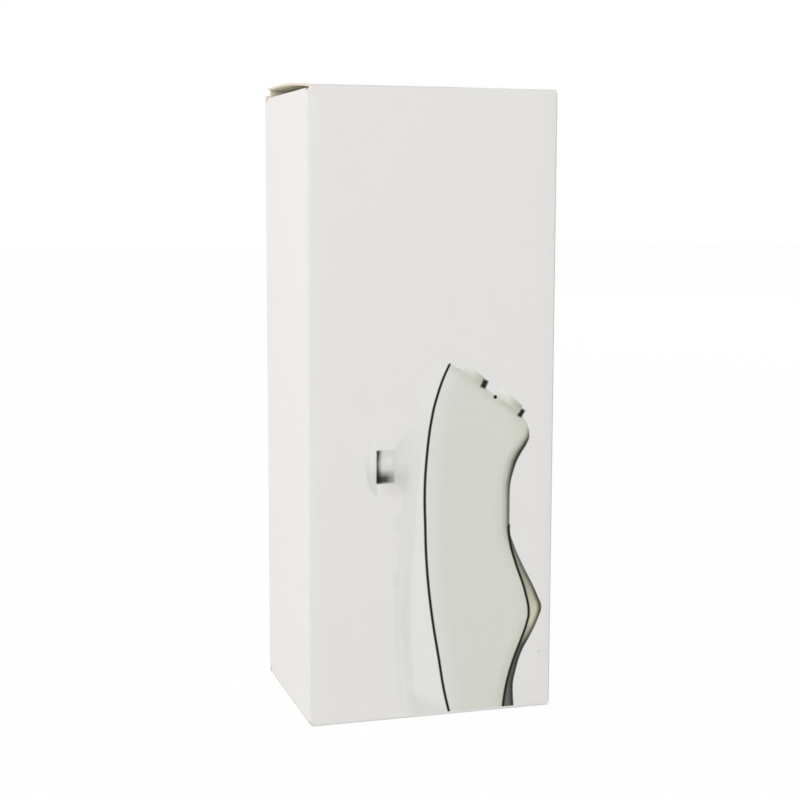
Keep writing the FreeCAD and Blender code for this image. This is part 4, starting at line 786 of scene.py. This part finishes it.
def cell_jacket(name, nub_up):
    """A film round a steel can: bare steel at both ends, and a paler band near the nub."""
    recipe = Recipe(name, CELL_FILM, 0.3, Coat_Weight=0.3)
    low, high = corners_of("battery_cell_1" if nub_up else "battery_cell_2")
    _, _, z = recipe.xyz()
    from_low = z - low[2]
    from_high = high[2] - z
    from_nub, from_base = (from_high, from_low) if nub_up else (from_low, from_high)
    bare = ((1.5 - from_nub).past(0.1) + (0.5 - from_base).past(0.1)).share()
    band = (9.0 - from_nub).past(0.15)
    film = recipe.mix(band, CELL_FILM, CELL_BAND)
    recipe.feed("Base Color", recipe.mix(bare, film, BARE_STEEL))
    recipe.feed("Metallic", bare * 0.9 + 0.05)
    recipe.feed("Roughness", recipe.noise(0.8, 3.0) * 0.15 + 0.22)
    return recipe.material


def spring_coils():
    """Two conical coils: a ring of wire carried round while its radius shrinks evenly with the height."""
    low, high = corners_of("battery_springs")
    wire = 0.32
    turns = 5.0
    wide_radius = 2.68
    taper = 1.2
    coil_length = 3.6
    wire_sides = 8
    rings = 121
    around = np.linspace(0, 2 * math.pi, wire_sides + 1)[:-1]
    steps = np.linspace(0, 1, rings)
    angle = steps * turns * 2 * math.pi
    radius = wide_radius - taper * steps
    cells = [corners_of("battery_cell_1"), corners_of("battery_cell_2")]
    grids = []
    for i, (cell_low, cell_high) in enumerate(cells):
        centre_x = (cell_low[0] + cell_high[0]) / 2
        centre_y = (cell_low[1] + cell_high[1]) / 2
        rise = wire + steps * (coil_length - 2 * wire)
        spine_z = low[2] + rise if i == 0 else high[2] - rise
        ring = radius[:, None] + wire * np.cos(around)[None, :]
        grids.append(np.stack([
            centre_x + ring * np.cos(angle)[:, None],
            centre_y + ring * np.sin(angle)[:, None],
            spine_z[:, None] + wire * np.sin(around)[None, :],
        ], axis=-1))
    work = bmesh.new()
    for i, grid in enumerate(grids):
        coil = grid_object("coil", grid, closed=True, flip=i == 0)
        work.from_mesh(coil.data)
        bpy.data.objects.remove(coil)
    open_edges = [edge for edge in work.edges if edge.is_boundary]
    bmesh.ops.holes_fill(work, edges=open_edges, sides=wire_sides)
    bmesh.ops.recalc_face_normals(work, faces=work.faces)
    mesh = bpy.data.meshes.new("spring_coils")
    work.to_mesh(mesh)
    work.free()
    made = added("spring_coils", mesh)
    mesh.materials.append(spring_wire)
    smoothed(made, WIRE_SHARP_FROM)
    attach(made, "remote")
    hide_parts("battery_springs")


SHELL_GRAIN = {"grain": 0.006, "grain_per_mm": 5.0}
shell_pale = dulled("pale shell plastic", srgb(224, 225, 220), 0.42, mottle=0.008, **SHELL_GRAIN)
shell_grey = dulled("grey green shell plastic", srgb(213, 216, 206), 0.45, mottle=0.01, **SHELL_GRAIN)
cover_slate = dulled("slate cover plastic", srgb(92, 96, 90), 0.5, grain=0.012, grain_per_mm=4.0)
button_rubber = dulled("button rubber", srgb(206, 208, 202), 0.6, grain=0.006, grain_per_mm=4.0)
trigger_plastic = dulled("trigger plastic", srgb(220, 222, 213), 0.35, grain=0.004)
stick_cap_rubber = dulled("stick cap rubber", srgb(219, 220, 215), 0.62, grain=0.02, grain_per_mm=3.0)
stick_stem_plastic = dulled("stick stem plastic", srgb(196, 198, 192), 0.45, grain=0.004)
black_plastic = dulled("black plastic", srgb(34, 35, 36), 0.42, grain=0.006)
moulded_chip = dulled("moulded chip", srgb(30, 30, 32), 0.55, grain=0.01, grain_per_mm=9.0)
connector_plastic = dulled("connector plastic", srgb(232, 226, 208), 0.45, grain=0.004)
ceramic = dulled("ceramic", srgb(172, 140, 104), 0.5, grain=0.006, grain_per_mm=9.0)
switch_metal = dulled("stamped switch metal", srgb(176, 176, 172), 0.36, grain=0.006, metallic=0.9)
contact_metal = dulled("plated contact", srgb(200, 196, 186), 0.28, grain=0.004, metallic=1.0)
spring_wire = dulled("spring wire", BARE_STEEL, 0.24, grain=0.002, metallic=1.0)
screw_metal = dulled("blackened screw", srgb(74, 74, 76), 0.38, grain=0.006, metallic=0.9)
drawn_can = dulled("drawn can", srgb(206, 206, 206), 0.3, grain=0.004, metallic=0.95)
ribbon_film = dulled("ribbon film", srgb(214, 140, 52), 0.28, grain=0.002, Coat_Weight=0.4)
indicator_lens = dulled("indicator lens", srgb(22, 22, 24), 0.12, grain=0.001, Coat_Weight=0.8)
clear_plastic = dulled("clear plastic", srgb(236, 240, 238), 0.15, grain=0.001, Transmission_Weight=0.7)
clear_resin = dulled("clear resin", srgb(232, 240, 226), 0.12, grain=0.001, Transmission_Weight=0.6)
lacquer = board_lacquer()

# CAD nodes shown in their own form, each with its finish and the width of its softened edges
PIECES = [
    ("glue_flap", inside_board, 0.0),
    ("upper_shell", shell_pale, 0.0),
    ("lower_shell", shell_grey, 0.0),
    ("battery_cover", cover_slate, 0.0),
    ("power_button", button_rubber, 0.0),
    ("button_top", button_rubber, 0.0),
    ("button_left", button_rubber, 0.0),
    ("button_right", button_rubber, 0.0),
    ("button_bottom", button_rubber, 0.0),
    ("light_pipe", clear_plastic, 0.0),
    ("button_switches", switch_metal, 0.08),
    ("trigger_switches", switch_metal, 0.08),
    ("trigger_board", lacquer, 0.0),
    ("trigger_board_screws", screw_metal, 0.08),
    ("nose_indicator", indicator_lens, 0.05),
    ("trigger_ribbon", ribbon_film, 0.0),
    ("ribbon_connector", connector_plastic, 0.1),
    ("mode_knob", black_plastic, 0.0),
    ("mode_switch", switch_metal, 0.08),
    ("stick_cap", stick_cap_rubber, 0.0),
    ("stick_stem", stick_stem_plastic, 0.0),
    ("gimbal_ring", black_plastic, 0.05),
    ("stick_housing", switch_metal, 0.08),
    ("main_board", lacquer, 0.0),
    ("shell_screws", screw_metal, 0.05),
    ("board_screws", screw_metal, 0.1),
    ("battery_cell_1", cell_jacket("cell jacket, nub up", True), 0.0),
    ("battery_cell_2", cell_jacket("cell jacket, nub down", False), 0.0),
    ("contact_plates", contact_metal, 0.0),
    ("contact_bridge", contact_metal, 0.0),
    ("upper_trigger", trigger_plastic, 0.0),
    ("lower_trigger", trigger_plastic, 0.0),
    ("radio_module", drawn_can, 0.15),
    ("processor", moulded_chip, 0.08),
    ("crystal", drawn_can, 0.15),
    ("board_passives", ceramic, 0.05),
    ("status_light", clear_resin, 0.05),
]
for piece_node, piece_material, piece_bevel in PIECES:
    dressed(piece_node, piece_material, piece_bevel)
spring_coils()

# Floor and light: a lamp has its place and size in metres, and its watts
FLOOR_HALF = 3.0
FLOOR_WHITE = (0.9, 0.9, 0.9, 1.0)
FLOOR_OWN_LIGHT = 0.97
WORLD_LEVEL = 0.5
BACKGROUND_RAYS = ("Is Camera Ray", "Is Glossy Ray", "Is Transmission Ray")
LAMPS = (
    ("window on the left", (-0.9, -0.45, 0.55), 0.7, 7.4),
    ("soft fill on the right", (0.6, -1.0, 0.3), 0.8, 2.85),
    ("soft light behind", (0.8, 1.1, 0.5), 0.8, 4.0),
)

# Camera: millimetres, metres, degrees
SENSOR_WIDTH = 36.0
LENS = 71.8
CAMERA_PLACE = (-0.1022, -0.3418, 0.1129)
CAMERA_TURN = (90 - 7.35, -0.12, -16.43)


def seen_directly(recipe):
    """1 for rays that carry the picture of the background: from the camera, a mirror or clear plastic."""
    rays = recipe.node("ShaderNodeLightPath", {}, {}).socket.node.outputs
    found = [Value(recipe, rays[name]) for name in BACKGROUND_RAYS]
    return found[0].greater(found[1]).greater(found[2])


def floor():
    """A flat square that glows white to those rays and keeps a trace of the shadow."""
    recipe = Recipe("white floor", FLOOR_WHITE, 0.9)
    bright = recipe.node("ShaderNodeEmission", {}, {"Color": WHITE, "Strength": 1.0})
    own = seen_directly(recipe) * FLOOR_OWN_LIGHT
    surface = Value(recipe, recipe.surface.outputs[0])
    both = recipe.node("ShaderNodeMixShader", {}, {0: own, 1: surface, 2: bright})
    recipe.tree.links.new(both.socket, recipe.tree.nodes["Material Output"].inputs[0])
    square = np.array([[[-1, -1, 0], [1, -1, 0]], [[-1, 1, 0], [1, 1, 0]]], float)
    made = grid_object("floor", square * FLOOR_HALF / MM)
    made.data.materials.append(recipe.material)


def world():
    """White to the rays that carry the background, and dimmer as a light on the object."""
    bpy.context.scene.world = bpy.data.worlds.new("white room")
    room = bpy.context.scene.world
    room.use_nodes = True
    tree = room.node_tree
    rays = tree.nodes.new("ShaderNodeLightPath").outputs
    seen = rays[BACKGROUND_RAYS[0]]
    for name in BACKGROUND_RAYS[1:]:
        either = tree.nodes.new("ShaderNodeMath")
        either.operation = "MAXIMUM"
        tree.links.new(seen, either.inputs[0])
        tree.links.new(rays[name], either.inputs[1])
        seen = either.outputs[0]
    mixed = tree.nodes.new("ShaderNodeMixShader")
    dim = tree.nodes["Background"]
    dim.inputs[0].default_value = WHITE
    dim.inputs[1].default_value = WORLD_LEVEL
    white = tree.nodes.new("ShaderNodeBackground")
    white.inputs[0].default_value = WHITE
    white.inputs[1].default_value = 1.0
    tree.links.new(seen, mixed.inputs[0])
    tree.links.new(dim.outputs[0], mixed.inputs[1])
    tree.links.new(white.outputs[0], mixed.inputs[2])
    tree.links.new(mixed.outputs[0], tree.nodes["World Output"].inputs[0])


def lamp(name, place, size, watts):
    """A square soft light that faces the middle of the carton."""
    light = bpy.data.lights.new(name, "AREA")
    light.shape = "SQUARE"
    light.size = size
    light.energy = watts
    made = added(name, light)
    made.location = place
    aim = Vector((0.0, 0.0, TOP * MM / 2)) - Vector(place)
    made.rotation_euler = aim.to_track_quat("-Z", "Y").to_euler()


def camera():
    """The photo's view of the carton."""
    lens = bpy.data.cameras.new("camera")
    lens.sensor_width = SENSOR_WIDTH
    lens.lens = LENS
    made = added("camera", lens)
    made.location = CAMERA_PLACE
    made.rotation_euler = tuple(math.radians(degrees) for degrees in CAMERA_TURN)
    bpy.context.scene.camera = made


floor()
world()
for lamp_name, lamp_place, lamp_size, lamp_watts in LAMPS:
    lamp(lamp_name, lamp_place, lamp_size, lamp_watts)
camera()
bpy.context.scene.view_settings.view_transform = "Standard"
